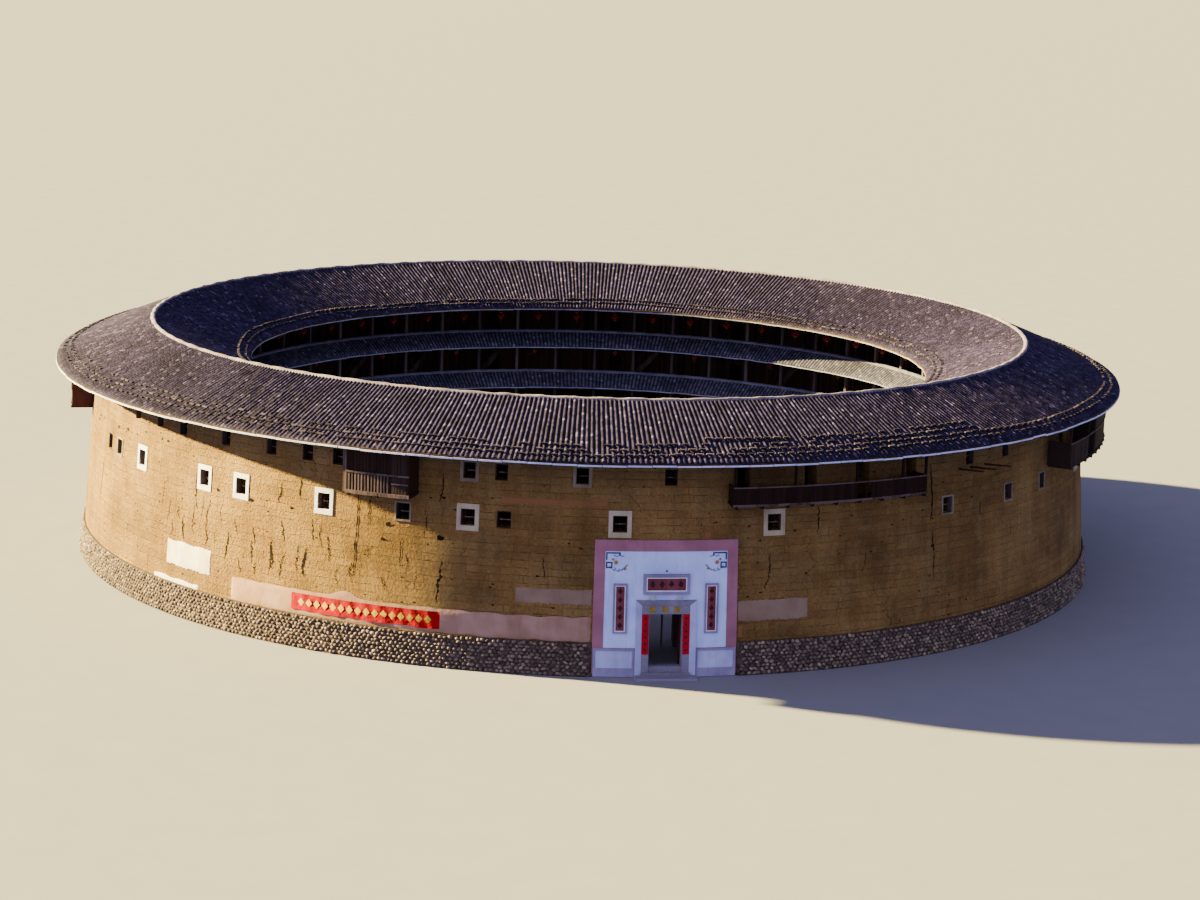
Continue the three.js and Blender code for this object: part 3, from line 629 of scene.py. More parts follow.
def border(x0, x1, z0, z1, thick, low, high):
    """Four flat bars round a rectangle, the upright ones between the other two."""
    parts = []
    for a, b in ((z1 - thick, z1), (z0, z0 + thick)):
        parts.append(bar(x0, x1, rectangle(a, b, low, high)))
    for a, b in ((x0, x0 + thick), (x1 - thick, x1)):
        parts.append(bar(a, b, rectangle(z0 + thick, z1 - thick, low, high), cols=2))
    return parts


# The sign board and the two upright boards: middle, half-width, foot and top, how proud the
# board is, and the widths of the moulding round it and of the white line inside that.
SCROLL_X = 2.525
SCROLL = (0.38, 2.42, 5.16, 0.11, 0.1, 0.045)
BOARDS = [(0.0, 1.28, 4.6, 5.7, 0.18, 0.16, 0.06), (-SCROLL_X, *SCROLL), (SCROLL_X, *SCROLL)]
DADO_IN, DADO_OUT, FOOT_BAR = 1.69, 3.95, (0.02, 0.36)
outer_trim, inner_trim = [], []
for x, half, z0, z1, face, wide, thin in BOARDS:
    outer_trim += border(x - half, x + half, z0, z1, wide, 0.05, face + 0.05)
    inset = half - wide
    inner_trim += border(x - inset, x + inset, z0 + wide, z1 - wide, thin, face - 0.02, face + 0.035)
for side in (-1, 1):
    x0, x1 = sorted((side * DADO_IN, side * DADO_OUT))
    outer_trim += border(x0, x1, 0.36, 1.58, 0.13, 0.05, 0.13)
    outer_trim.append(bar(x0, x1, rectangle(*FOOT_BAR, 0.05, 0.125), cols=6))
together("gate_mauve_mouldings", outer_trim, mauve)
together("gate_white_mouldings", inner_trim, surround_lime)
field = rectangle(0.48, 1.46, 0.05, 0.102)
dado = [bar(x0, x1, field, cols=6) for x0, x1 in ((-3.83, -1.81), (1.81, 3.83))]
together("gate_dado_panels", dado, dado_lime)

# the splay: sides that slope in from the panel to the stone, and a top piece darker with painted shade
splay = []
for side in (-1, 1):
    high_edge = [(0.02, 0.1), (0.02, 0.27), (4.28, 0.27), (4.28, 0.1)]
    low_edge = [(0.02, 0.1), (0.02, 0.17), (3.98, 0.17), (3.98, 0.1)]
    one = (-1.67, -1.33, high_edge, low_edge) if side < 0 else (1.33, 1.67, low_edge, high_edge)
    splay.append(bar(*one, cols=2))
together("gate_splay_sides", splay, dado_lime)
slope = [(3.98, 0.1), (3.98, 0.17), (4.28, 0.27), (4.28, 0.1)]
head = bar(-1.33, 1.33, slope, spread=(0, 0, 0.34, 0.34))
together("gate_splay_head", [head], shaded_mauve)

# Red paper: thin dyed paper pasted on stone, faded in patches, wrinkled where the paste dried.
red_paper = mottled("dyed_red_paper", "#9a0c18", "#bd1522", 5.0, 0.7, 0.006)
# Gilt paper: brass leaf on paper, dull yellow with a weak shine.
gilt = mottled("gilt_paper", "#7b6420", "#a58833", 9.0, 0.5, 0.004)
# Ink and lacquer: brushed black with a brown cast where it has worn.
ink = mottled("brushed_lamp_black", "#1b1213", "#3a2325", 12.0, 0.6, 0.002, ends=(0.3, 0.8))
# Distemper: chalk and a green earth in size, matt and streaky, on the stubs.
pale_green = mottled("pale_green_distemper", "#a9b3b4", "#c3cac8", 8.0, 0.85, 0.004)

# flat on the stone frame: two paper strips, the lintel's face, its distemper and gilt squares
strip = rectangle(1.28, 3.5, 0.13, 0.16)
paper = [bar(s * 1.13 - 0.19, s * 1.13 + 0.19, strip, cols=2, flat=True) for s in (-1, 1)]
together("gate_red_strips", paper, red_paper)
lintel_face = [bar(-1.3, 1.3, rectangle(3.53, 3.97, 0.13, 0.15), flat=True)]
together("gate_lintel_strip", lintel_face, granite)
# the lintel's ground takes the mauve with painted shade
pale_lintel = [bar(-0.93, 0.78, rectangle(3.56, 3.96, 0.13, 0.158), flat=True)]
together("gate_lintel_distemper", pale_lintel, shaded_mauve)
square = rectangle(3.6, 3.93, 0.13, 0.17)
squares = [bar(x - 0.16, x + 0.16, square, cols=2, flat=True) for x in (-0.77, -0.05, 0.6)]
together("gate_gilt_squares", squares, gilt)

LOZENGE = np.array([[-0.5, 0, 0], [0, 0, -0.5], [0.5, 0, 0], [0, 0, 0.5], [0, 0.5, 0]])
LOZENGE_FACES = [np.array([[1, 0, 4], [2, 1, 4], [3, 2, 4], [0, 3, 4]]), np.array([[0, 1, 2, 3]])]


def lozenges(name, rows, material, spin=0.0):
    """Small raised lozenges: azimuth, tangent offset, radius, height, width, rise and length."""
    az, side, r, z, wide, deep, high = np.array(rows, float).T
    frames = lay_frames(az, wide, deep, high, spin)
    points, faces = copies(LOZENGE, LOZENGE_FACES, frames, place(az, r, z) + aside(az, side))
    return piece(name, points, faces, material, smooth=False)


def on_gate(x, z, proud, flat=False):
    """Azimuth, no offset, radius and height of a point on the gate's face at a sideways x."""
    r = WALL_FOOT - BATTER * z + proud
    r = math.hypot(r, x) if flat else r
    return [math.degrees(math.asin(x / r)), 0, r, z]


marks = [on_gate(x, 5.15, 0.18) + [0.3, 0.02, 0.46] for x in (-0.78, -0.26, 0.26, 0.78)]
for x in (-SCROLL_X, SCROLL_X):
    marks += [on_gate(x, z, 0.112) + [0.27, 0.02, 0.36] for z in (2.86, 3.33, 3.8, 4.27, 4.74)]
for s in (-1, 1):
    marks += [on_gate(s * 1.13, z, 0.158, True) + [0.2, 0.02, 0.24] for z in np.arange(1.5, 3.4, 0.35)]
lozenges("gate_plain_marks", marks, ink)
lozenges("gate_stud_over_sign", [on_gate(0.0, 5.86, 0.06) + [0.13, 0.06, 0.13]], ink)

# stubs that carry the sign board: wide, narrow and wide again
stubs = []
for x in (-0.77, 0.72):
    for z, half in ((4.32, 0.2), (4.39, 0.11), (4.45, 0.09), (4.51, 0.11), (4.57, 0.2)):
        block = rectangle(z - 0.035, z + 0.036, 0.05, 0.13 + 0.3 * half)
        stubs.append(bar(x - half, x + half, block, cols=2))
together("gate_bracket_stubs", stubs, pale_green)

# Fret paint: indigo in lime, brushed on the wet coat, so its edges are soft and its tone patchy.
fret_blue = mottled("indigo_lime_paint", "#1d2440", "#3c4668", 14.0, 0.8, 0.003)
# Leaf paint: the same indigo thinned with lime water, so that the white shows through.
leaf_blue = mottled("thin_indigo_lime_paint", "#626e98", "#8f9bc2", 14.0, 0.8, 0.003)
# Ochre paint: yellow earth in lime, for the flowers.
ochre = mottled("ochre_lime_paint", "#8f6a2c", "#bd9040", 14.0, 0.8, 0.003)

# the fret's strokes, each as its two sides and its foot and top, from the panel's middle line
STROKES = [
    (2.55, 3.33, 6.8, 6.87), (3.26, 3.33, 6.45, 6.8), (2.55, 2.62, 6.7, 6.8), (2.98, 3.33, 6.27, 6.34),
    (2.98, 3.33, 6.0, 6.07), (3.26, 3.33, 6.07, 6.27), (2.98, 3.05, 6.07, 6.27),
]
fret = []
for s in (-1, 1):
    for a, b, z0, z1 in STROKES:
        x0, x1 = sorted((s * a, s * b))
        fret.append(bar(x0, x1, rectangle(z0, z1, 0.05, 0.07), cols=2))
together("gate_fret_corners", fret, fret_blue)

# Three flowers of six petals in each corner, by their middle and size, and a sprig of leaves
# under them, by place and turn.
PETALS, PETAL_TURN = 6, 1.047
FLOWERS = ((2.79, 6.31, 0.27), (2.96, 6.48, 0.16), (2.3, 5.98, 0.2))
SPRIG = ((3.1, 6.04, 0.9), (2.9, 5.9, 0.5), (2.68, 5.85, 0.1), (2.47, 5.91, -0.4), (2.26, 6.1, -0.9))
petals, turns, leaves, leaf_turns = [], [], [], []
for s in (-1, 1):
    for x, z, size in FLOWERS:
        for k in range(PETALS):
            angle = k * PETAL_TURN
            out_x, out_z = 0.25 * size * math.cos(angle), 0.25 * size * math.sin(angle)
            petal = on_gate(s * (x + out_x), z + out_z, 0.06)
            petals.append(petal + [0.66 * size, 0.02, 0.36 * size])
            turns.append(angle * s)
    for x, z, turned_by in SPRIG:
        leaves.append(on_gate(s * x, z, 0.06) + [0.26, 0.015, 0.1])
        leaves.append(on_gate(s * (x - 0.08), z + 0.07, 0.06) + [0.18, 0.015, 0.08])
        leaf_turns += [turned_by * s, (turned_by + 0.6) * s]
    for x in (2.86, 2.74, 2.62, 2.5, 2.4):
        leaf = on_gate(s * x, 6.68 + 0.03 * math.sin(20 * x), 0.06)
        leaves.append(leaf + [0.17, 0.015, 0.08])
        leaf_turns.append(0.4 * s)
lozenges("gate_ochre_flowers", petals, ochre, np.array(turns))
lozenges("gate_painted_leaves", leaves, leaf_blue, np.array(leaf_turns))

# Floors, galleries and rooms
# China fir, sawn and never painted: posts and beams at each bay, board floors on the joists,
# and board fronts to the rooms. Smoke and shade keep them nearly black.
BAYS = 54
BAY_WIDE = 360.0 / BAYS
bay = -2.5 + np.arange(BAYS) * BAY_WIDE
FLOOR_TOPS, DOOR_HIGH = (0.0, 3.66, 5.92, 9.05), (1.95, 1.9, 1.95, 1.95)
JOIST_TOPS = (3.51, 5.77, 8.9)
ROOM_FRONT_R = 26.4

# Fir indoors: floor boards and treads scuffed grey, posts rubbed by hands and dusted pale, door
# casings a warmer brown where the weather never comes.
floor_board = timber("fir_floor_boards_greyed", "#35271b", "#5c4733", board=0.25)
post_wood = timber("fir_gallery_posts_worn", "#3a2f2c", "#5f514c", board=0.4)
stair_wood = timber("fir_stair_treads_worn", "#211a15", "#3f352d", board=0.3)
door_wood = timber("fir_door_casing", "#2f1c12", "#4f3423", board=0.15)
dress(floor_board, "floor_2", "floor_3", "floor_4")
dress(fir_dark, *[f"room_front_{i}" for i in range(1, 5)])
dress(post_wood, *[f"gallery_frame_{i}" for i in range(1, 5)])
dress(stair_wood, *[f"stair_{i}" for i in range(1, 6)])
joists = [[a + o, 0, 24.95, z - 0.09, 0.09, 0.5, 0.14] for a in bay for o in (2.2, 4.4) for z in JOIST_TOPS]
boxes("joist_ends", joists, fir_dark)

# door casings, two posts and a head, in the bays that have no open doorway
casings = []
for z0, tall in zip(FLOOR_TOPS, DOOR_HIGH):
    for k in range(BAYS):
        a = bay[k] + BAY_WIDE / 2
        if k % 3 != 1:
            r = ROOM_FRONT_R * math.cos(math.radians(BAY_WIDE / 2)) - 0.03
            casings += [[a, s * 0.45, r, z0 + tall / 2, 0.09, 0.12, tall] for s in (-1, 1)]
            casings += [[a, 0, r, z0 + tall, 0.99, 0.12, 0.09]]
boxes("room_door_casings", casings, door_wood)

# Stair rails: four balusters to a side, and a square handrail between the two landings.
FLIGHTS = [213.6, 201.7, 188.9, 162.5, 137.4]
RAIL_ENDS = ((1.15, 6.97), (-1.15, 9.95))
RAIL_SQUARE = ((-0.025, -0.025), (0.025, -0.025), (0.025, 0.025), (-0.025, 0.025))
BEAM_QUADS = np.vstack([weave(2, 4, True), [[3, 2, 1, 0], [4, 5, 6, 7]]])
balusters, handrails = [], []
for a in FLIGHTS:
    for r in (25.14, 26.0):
        for f in np.linspace(0.06, 0.94, 4):
            balusters.append([a, 1.15 - 2.3 * f, r, 5.95 + 3.05 * f + 0.62, 0.04, 0.04, 0.85])
        ends = [(r + dr, x, z + dz) for x, z in RAIL_ENDS for dr, dz in RAIL_SQUARE]
        out, along, up = np.array(ends).T
        handrails.append((place(a, out, up) + aside(a, along), BEAM_QUADS))
boxes("stair_balusters", balusters, stair_wood)
together("stair_handrails", handrails, stair_wood)

# Tiled roof slopes
# Unglazed grey tiles laid dry, hollow side up for the pans and down for the covers, in rows
# from ridge to eave. Smoke and lichen mottle them, and the odd new tile is brown or pale.
PAN, EDGE, CROWN = 0.0, 0.26, 0.5


def tile_rows(name, count, head, eave, steps, material, slot, high=0.085, course=0.22, inward=False):
    """A tiled slope: radius and height run from head to eave, azimuth in rows with four points
    each, a low pan, two cover edges and a crown, and the eave end drops to the boards."""
    (r0, z0), (r1, z1) = head, eave
    u = np.repeat(np.arange(count), 4) + np.tile([PAN, EDGE, CROWN, 1 - EDGE], count)
    lift_up = np.tile([0.0, 0.55, 1.0, 0.55], count) * high
    v = np.linspace(0, 1, steps)[:, None]
    wobble = rng.normal(0, 0.006, (steps, count)).repeat(4, 1)
    skew = np.cumsum(rng.normal(0, 0.012, (steps, count)), 0).clip(-0.08, 0.08).repeat(4, 1)
    rr = r0 + (r1 - r0) * v + 0 * u
    zz = z0 + (z1 - z0) * v + lift_up + wobble + 0.02
    az = (u + skew) * 360.0 / count
    uv = np.stack([u + 0 * rr, v * math.hypot(r1 - r0, z1 - z0) / course + 0 * u], -1)
    rr = np.vstack([rr, rr[-1:]])
    zz = np.vstack([zz, zz[-1:] * 0 + z1 - 0.02])
    az = np.vstack([az, az[-1:]])
    uv = np.concatenate([uv, uv[-1:]], 0)
    quads = weave(steps + 1, 4 * count, True)
    quads = quads if inward else quads[:, ::-1]
    return piece(name, place(az, rr, zz).reshape(-1, 3), [quads], material, uv=uv.reshape(-1, 2))


def clay_tile(name, dark, mid, pale, fleck):
    """Fired grey clay, every tile its own tone: its lower lip has a painted glint, its pans painted shade.
    """
    material, t, real = begin(name)
    rows = add(t, "UVMap", {}, uv_map="rows")["UV"]
    part = add(t, "SeparateXYZ", [rows])
    row_no = add(t, "Math", [part["X"]], operation="FLOOR")[0]
    shift = add(t, "TexWhiteNoise", {"W": row_no}, noise_dimensions="1D")["Value"]
    down = add(t, "Math", (part["Y"], shift), operation="ADD")[0]
    tile_no = add(t, "Math", [down], operation="FLOOR")[0]
    along = add(t, "Math", [down], operation="FRACT")[0]
    which = add(t, "CombineXYZ", (row_no, tile_no))["Vector"]
    own = add(t, "TexWhiteNoise", {"Vector": which}, noise_dimensions="2D")
    broad = add(t, "TexNoise", {"Vector": real, "Scale": 0.35, "Detail": 4.0})["Fac"]
    fine = add(t, "TexNoise", {"Vector": real, "Scale": 9.0, "Detail": 4.0})["Fac"]
    mixed = add(t, "Math", (own["Value"], 0.7, broad), operation="MULTIPLY_ADD")[0]
    mixed = add(t, "MapRange", (mixed, 0.35, 1.35))[0]
    fired = add(t, "ValToRGB", [mixed], stops=[(0.0, dark), (1.0, pale), (0.55, mid)])[0]
    second = add(t, "SeparateColor", [own["Color"]])["Green"]
    odd = add(t, "Math", (second, 0.96), operation="GREATER_THAN")[0]
    odd = add(t, "Math", (odd, 0.7), operation="MULTIPLY")[0]
    # painted light and shade: a pale glint on each lower lip, dark in the pans and under the tile above
    lip = add(t, "MapRange", (along, 0.75, 0.98, 0.0, 0.5))[0]
    lip = add(t, "Math", (lip, own["Value"]), operation="MULTIPLY")[0]
    spot = add(t, "Math", (lip, odd), operation="MAXIMUM")[0]
    across = add(t, "Math", (part["X"], 0.5), operation="PINGPONG")[0]
    pan = add(t, "MapRange", (across, 0.12, 0.34, 0.85, 0.0))[0]
    under = add(t, "MapRange", (along, 0.0, 0.1, 0.6, 0.0))[0]
    for share, over in ((spot, fleck), (pan, "#17111d"), (under, "#151115")):
        fired = add(t, "MixRGB", (share, fired, linear(over)))[0]
    step = add(t, "Math", (along, 0.6, fine), operation="MULTIPLY_ADD")[0]
    surface(t, fired, 0.85, step, 0.02)
    return material


# Grey roof tile: clay fired in smoke, matt and sooty with a violet cast, no two tiles alike.
grey_tile = clay_tile("smoke_fired_roof_tile", "#150f1c", "#271f37", "#3e344f", "#665b72")
# Skirt tile: the same clay, painted paler and bluer than the roof's, as light from the sky in the court.
skirt_tile_painted_light = clay_tile("smoke_fired_skirt_tile_painted_light", "#33313c", "#4c4a57", "#656370", "#807e8b")
RIDGE_R, EAVE_R, INNER_R = 28.0, 34.0, 21.8
EAVE_TOP, RIDGE_TOP, INNER_TOP = 12.19, 14.56, 12.04
outer_rows = (727, (28.12, RIDGE_TOP - 0.05), (33.97, EAVE_TOP), 17, grey_tile, "roof_tile")
tile_rows("tiles_outer_slope", *outer_rows)
inner_rows = (600, (27.88, RIDGE_TOP - 0.05), (21.83, INNER_TOP), 17, grey_tile, "roof_tile")
tile_rows("tiles_inner_slope", *inner_rows, inward=True)

# Weight tiles
# Short tiles laid crosswise on every other row near the eaves hold the lowest courses down. They
# lie loose, in wavering rings, and gaps show where one has slipped off.
OUT_FALL = (RIDGE_TOP - EAVE_TOP) / (EAVE_R - RIDGE_R)
IN_FALL = (RIDGE_TOP - INNER_TOP) / (RIDGE_R - INNER_R)

# Weight tile: the same grey tile, sooty, and paler where lichen has got hold.
tile_end, t, real = begin("smoke_fired_weight_tile")
tone = add(t, "Attribute", {}, attribute_name="tone")["Fac"]
fired = [(0.0, "#1a151f"), (1.0, "#4c434a"), (0.6, "#2e2734"), (0.85, "#403538")]
fired = add(t, "ValToRGB", [tone], stops=fired)[0]
dust = add(t, "TexNoise", {"Vector": real, "Scale": 9.0, "Detail": 3.0})["Fac"]
surface(t, fired, 0.85, dust, 0.01)


def weight_tiles(name, count, rings, eave_r, eave_z, fall, outward):
    """Crosswise tiles: one at every second row of each ring, the next ring moved by one row. A
    ring has its way back from the eave, the share of tiles still there, and its two ends."""
    rows = []
    for n, (back, chance, span) in enumerate(rings):
        a = (np.arange(n % 2, count, 2) + 0.5) * 360.0 / count
        inside = np.full(a.size, True) if span is None else ((a - span[0]) % 360) < (span[1] - span[0])
        a = a[inside & (rng.random(a.size) < chance)]
        wave = 0.1 * np.sin(np.radians(a) * 5) + 0.06 * np.sin(np.radians(a) * 13 + 1)
        far = back + wave + rng.normal(0, 0.02, a.size)
        r = eave_r - far if outward else eave_r + far
        long = 0.36 + rng.normal(0, 0.03, a.size)
        z = eave_z + fall * far + 0.135
        rows.append(np.column_stack([a, 0 * a, r, z, long, 0 * a + 0.13, 0 * a + 0.07]))
    rows = np.vstack(rows)
    return boxes(name, rows, tile_end, tone=rng.random(len(rows)))


outer_rings = [(0.62, 0.95, None), (1.08, 0.93, None), (1.55, 0.7, (-80, 34)), (2.05, 0.85, (2, 34))]
inner_rings = [(0.5, 0.93, None), (0.95, 0.9, None)]
weight_tiles("weight_tiles_outer", 727, outer_rings, EAVE_R, EAVE_TOP, OUT_FALL, True)
weight_tiles("weight_tiles_inner", 600, inner_rings, INNER_R, INNER_TOP, IN_FALL, False)

# Ridge
# Two lines of cap tiles bedded in pale lime mortar run round the whole ridge. The mortar has
# been laid on again and again, so one thick rounded roll shows and hardly a tile edge.
CAP_HALF, CAP_HIGH, CAP_POINTS, CAP_SIDES = 0.17, 0.19, 1080, 12

# Lime mortar: trowelled over the caps by hand, lumpy, cracked and streaked with soot.
lime_mortar = lime("trowelled_ridge_mortar", "#8f8489", "#665d62", "#37322f")
az = np.linspace(0, 360, CAP_POINTS, endpoint=False)
around = np.linspace(0, 2 * np.pi, CAP_SIDES, endpoint=False)
lump = 0.02 * np.sin(np.radians(az) * 97) + rng.normal(0, 0.008, az.size)
r = RIDGE_R + CAP_HALF * np.cos(around)[:, None] + 0.4 * lump
upper = np.sin(around).clip(0)[:, None] ** 0.7
z = RIDGE_TOP - 0.08 + (CAP_HIGH + lump) * upper + 0.06 * np.sin(around).clip(None, 0)[:, None]
rim = weave(CAP_SIDES + 1, CAP_POINTS, True) % (CAP_SIDES * CAP_POINTS)
ridge = piece("ridge_mortar_cap", place(az, r, z).reshape(-1, 3), [rim], lime_mortar)
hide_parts("roof_ridge")

# Eave boards, rafters and roof boarding
# Rafters run down both slopes past the wall and the posts. A thin board, once limewashed,
# closes their ends in short lengths, and plain boards lie on top under the tiles.
EAVE_LOW, INNER_LOW, RIDGE_LOW = 12.03, 11.88, 14.4

# Roof boarding: fir, sawn thin, brown and dry, dark where smoke has reached it.
roof_board = timber("fir_roof_boarding", "#2b1d13", "#493423", board=0.3, around=33.0)
dress(roof_board, "roof_front", "roof_back")
# Eave board: fir under an old coat of lime, pale grey-violet in the shade and flaking. On the
# court's side the coat is painted darker grey, as shade under the inner eaves and skirts.
eave_lime = lime("limewashed_eave_board", "#e0e1ee", "#bcbfd0", "#83849a")
court_lime_painted_shade = lime("limewash_on_eave_board_painted_shade", "#92949f", "#72747f", "#4c4e58")


def eave_boards(name, r, z, count, finish, tall=0.09, inward=False):
    """Short curved boards end to end round an eave, each a little off its neighbour's line."""
    parts = []
    step = 360.0 / count
    s = -1.0 if inward else 1.0
    for k in range(count):
        a = k * step + np.linspace(0.01 * step, 0.985 * step, 4)
        r0, z0 = r + rng.normal(0, 0.006), z + rng.normal(0, 0.01)
        section = [(r0, z0), (r0 + s * 0.03, z0), (r0 + s * 0.03, z0 + tall), (r0, z0 + tall)]
        points = np.stack([place(a, q[0], q[1]) for q in section], 0).reshape(-1, 3)
        back = np.stack([np.arange(12, 15), np.arange(13, 16), np.arange(1, 4), np.arange(0, 3)], -1)
        quads = np.vstack([weave(4, 4), back, [[0, 4, 8, 12], [15, 11, 7, 3]]])
        parts.append((points, quads[:, ::-1] if inward else quads))
    return together(name, parts, finish)


eave_boards("eave_boards_outer", EAVE_R, EAVE_LOW, 160, eave_lime)
eave_boards("eave_boards_inner", INNER_R, INNER_LOW, 110, court_lime_painted_shade, tall=0.07, inward=True)


def under_outer(r):
    """The height of the outer slope's underside at a radius: a straight fall to the eave."""
    return EAVE_LOW + (EAVE_R - r) * (RIDGE_LOW - EAVE_LOW) / (EAVE_R - RIDGE_R)


def under_inner(r):
    """The height of the inner slope's underside at a radius."""
    return INNER_LOW + (r - INNER_R) * (RIDGE_LOW - INNER_LOW) / (RIDGE_R - INNER_R)


def rafters(name, count, r0, r1, z_of):
    """Sloping square rafters: each a box whose two ends follow the underside of the roof."""
    a = (np.arange(count) + 0.5) * 360.0 / count
    corners = []
    for r in (r0, r1):
        for dx, dz in ((-0.05, -0.1), (0.05, -0.1), (0.05, -0.004), (-0.05, -0.004)):
            corners.append(place(a, np.full(count, r), z_of(r) + dz) + aside(a, np.full(count, dx)))
    faces = (BEAM_QUADS[None] + (np.arange(count) * 8)[:, None, None]).reshape(-1, 4)
    return piece(name, np.stack(corners, 1).reshape(-1, 3), [faces], roof_board, smooth=False)


rafters("rafters_outer", 270, 31.55, 33.96, under_outer)
rafters("rafters_inner", 216, 21.86, 26.2, under_inner)

# Skirt roofs
# Each gallery has a low tiled skirt with a band of pale mortar at its head and a thin
# limewashed board at its edge. The parapet behind it is of upright boards.
SKIRT_HEADS = {2: 4.6, 3: 6.87, 4: 9.85}
SKIRT_HEAD_R, SKIRT_EDGE_R, SKIRT_FALL = 24.62, 23.22, 0.87

# Parapet fir: sawn boards, brown in the gallery's shade, never painted.
parapet = timber("fir_parapet_boards", "#2c1e15", "#4d3827", board=0.16, around=24.7)
dress(parapet, *[f"skirt_roof_{i}" for i in SKIRT_HEADS])
# Skirt mortar: lime and sand trowelled along the head, grey with soot.
skirt_lime = lime("trowelled_skirt_mortar", "#6f6c78", "#565460", "#403f48")
bands = []
for i, head in SKIRT_HEADS.items():
    slope = ((SKIRT_HEAD_R, head), (SKIRT_EDGE_R, head - SKIRT_FALL), 5, skirt_tile_painted_light, "skirt_tile")
    tile_rows(f"skirt_tiles_{i}", 560, *slope, high=0.06, course=0.2, inward=True)
    eave_boards(f"skirt_eave_boards_{i}", 23.25, head - 1.0, 120, court_lime_painted_shade, tall=0.07, inward=True)
    az = np.linspace(0, 360, 648, endpoint=False)
    section = [(24.76, head - 0.02), (24.76, head + 0.12), (24.68, head + 0.15), (24.56, head + 0.1)]
    section = np.array(section + [(24.46, head - 0.02), (24.76, head - 0.02)])
    shake = rng.normal(0, 0.007, (2, az.size))
    points = place(az, section[:, :1] + shake[0], section[:, 1:] + shake[1])
    bands.append((points.reshape(-1, 3), weave(6, 648, True)))
together("skirt_head_mortar_bands", bands, skirt_lime, smooth=True)

# Lookouts
# Timber boxes hung on joists under the outer eave, boarded with upright planks and edged with
# paler rails and bottom planks that have been renewed.

# Lookout fir: bare planks out in the weather, nearly black under the eave, grey-brown on the
# long right-hand one and red-brown on the far left, made darker there as painted shade.
lookout_wood = timber("fir_lookout_planks", "#140b09", "#2b1a15", board=0.17, around=33.1, groove=0.9)
grey_planks = timber("fir_lookout_planks_grey_brown", "#1f1613", "#392b24", board=0.18, around=33.2)
red_planks_painted_shade = timber("fir_lookout_planks_red_brown_shaded", "#2f1a14", "#50332a", board=0.19, around=33.0)
dress(lookout_wood, "lookout_1", "lookout_2")
dress(grey_planks, "lookout_3")
dress(red_planks_painted_shade, "lookout_4")
# Renewed fir: planed not long ago, paler than the old planks, each board of its own tone.
new_fir, t, real = begin("renewed_fir_boards")
tone = add(t, "Attribute", {}, attribute_name="tone")["Fac"]
stretched = add(t, "Mapping", {"Vector": real, "Scale": (9.0, 9.0, 0.9)})["Vector"]
grain = add(t, "TexNoise", {"Vector": stretched, "Scale": 1.0, "Detail": 5.0})["Fac"]
mixed = add(t, "Math", (tone, 0.6, grain), operation="MULTIPLY_ADD")[0]
board = add(t, "ValToRGB", [mixed], stops=[(0.35, "#33271f"), (1.0, "#66544a")])[0]
surface(t, board, 0.85, grain, 0.006)


def upright(a0, a1, step, r, z0, z1, wide, ragged=0.03):
    """Upright planks side by side: azimuth from a0 to a1, tops a little uneven."""
    a = np.arange(a0 + step / 2, a1, step)
    top = z1 + ragged * rng.random(a.size)
    size = [np.full(a.size, wide), np.full(a.size, 0.03)]
    return np.column_stack([a, 0 * a, 0 * a + r, (z0 + top) / 2, *size, top - z0])


def lengthwise(a0, a1, r, z, deep, tall, step=1.1):
    """Rails and planks that run round: short straight lengths end to end."""
    count = max(1, round((a1 - a0) / step))
    a = a0 + (np.arange(count) + 0.5) * (a1 - a0) / count
    wide = np.full(count, 1.01 * math.radians((a1 - a0) / count) * r)
    flat = 0 * a
    return np.column_stack([a, flat, flat + r, flat + z, wide, flat + deep, flat + tall])


# planks by their ends, step, radius, foot, top and width, rails by their ends, radius, height,
# thickness and depth, from the left of the gate round to the back
LOOKOUTS = (
    ("pale", upright, (-31.0, -26.75, 0.33, 33.41, 9.66, 10.62, 0.09)),
    ("pale", lengthwise, (-31.2, -24.75, 33.42, 10.68, 0.06, 0.09)),
    ("pale", lengthwise, (-31.2, -24.75, 33.42, 9.56, 0.05, 0.2)),
    ("pale", lengthwise, (-26.5, -24.8, 33.43, 10.23, 0.05, 0.08)),
    ("pale", upright, (-31.55, -31.2, 0.2, 33.3, 9.5, 12.0, 0.16, 0.0)),
    ("grey", upright, (-26.5, -24.85, 0.3, 33.4, 9.66, 12.05, 0.155)),
    ("dark", upright, (-31.1, -26.7, 0.34, 33.375, 10.72, 12.1, 0.18)),
    ("dark", upright, (6.05, 18.85, 0.31, 32.8, 9.66, 10.56, 0.165)),
    ("dark", upright, (20.75, 27.3, 0.31, 32.8, 9.66, 10.56, 0.165)),
    ("pale", lengthwise, (5.95, 27.4, 32.82, 10.6, 0.07, 0.07)),
    ("pale", lengthwise, (5.95, 27.4, 32.82, 9.6, 0.05, 0.13)),
    ("grey", upright, (52.0, 57.95, 0.31, 33.2, 9.3, 10.6, 0.165)),
    ("grey", upright, (61.1, 71.95, 0.31, 33.18, 9.3, 12.1, 0.165)),
    ("pale", lengthwise, (51.85, 72.05, 33.22, 10.62, 0.06, 0.08)),
    ("grey", lengthwise, (51.85, 72.05, 33.22, 9.24, 0.05, 0.14)),
    ("red", upright, (264.05, 273.95, 0.33, 33.04, 9.3, 12.15, 0.18)),
    ("red", lengthwise, (263.95, 274.05, 33.07, 10.27, 0.05, 0.08)),
    ("pale", lengthwise, (263.95, 274.05, 33.07, 9.25, 0.05, 0.12)),
)
runs = {"pale": [], "dark": [], "grey": [], "red": []}
for kind, run, sizes in LOOKOUTS:
    runs[kind].append(run(*sizes))
pale, dark, grey, red = [np.vstack(rows) for rows in runs.values()]
boxes("lookout_rails_and_slats", pale, new_fir, tone=rng.random(len(pale)))
boxes("lookout_boards_dark", dark, lookout_wood)
boxes("lookout_boards_grey", grey, grey_planks)
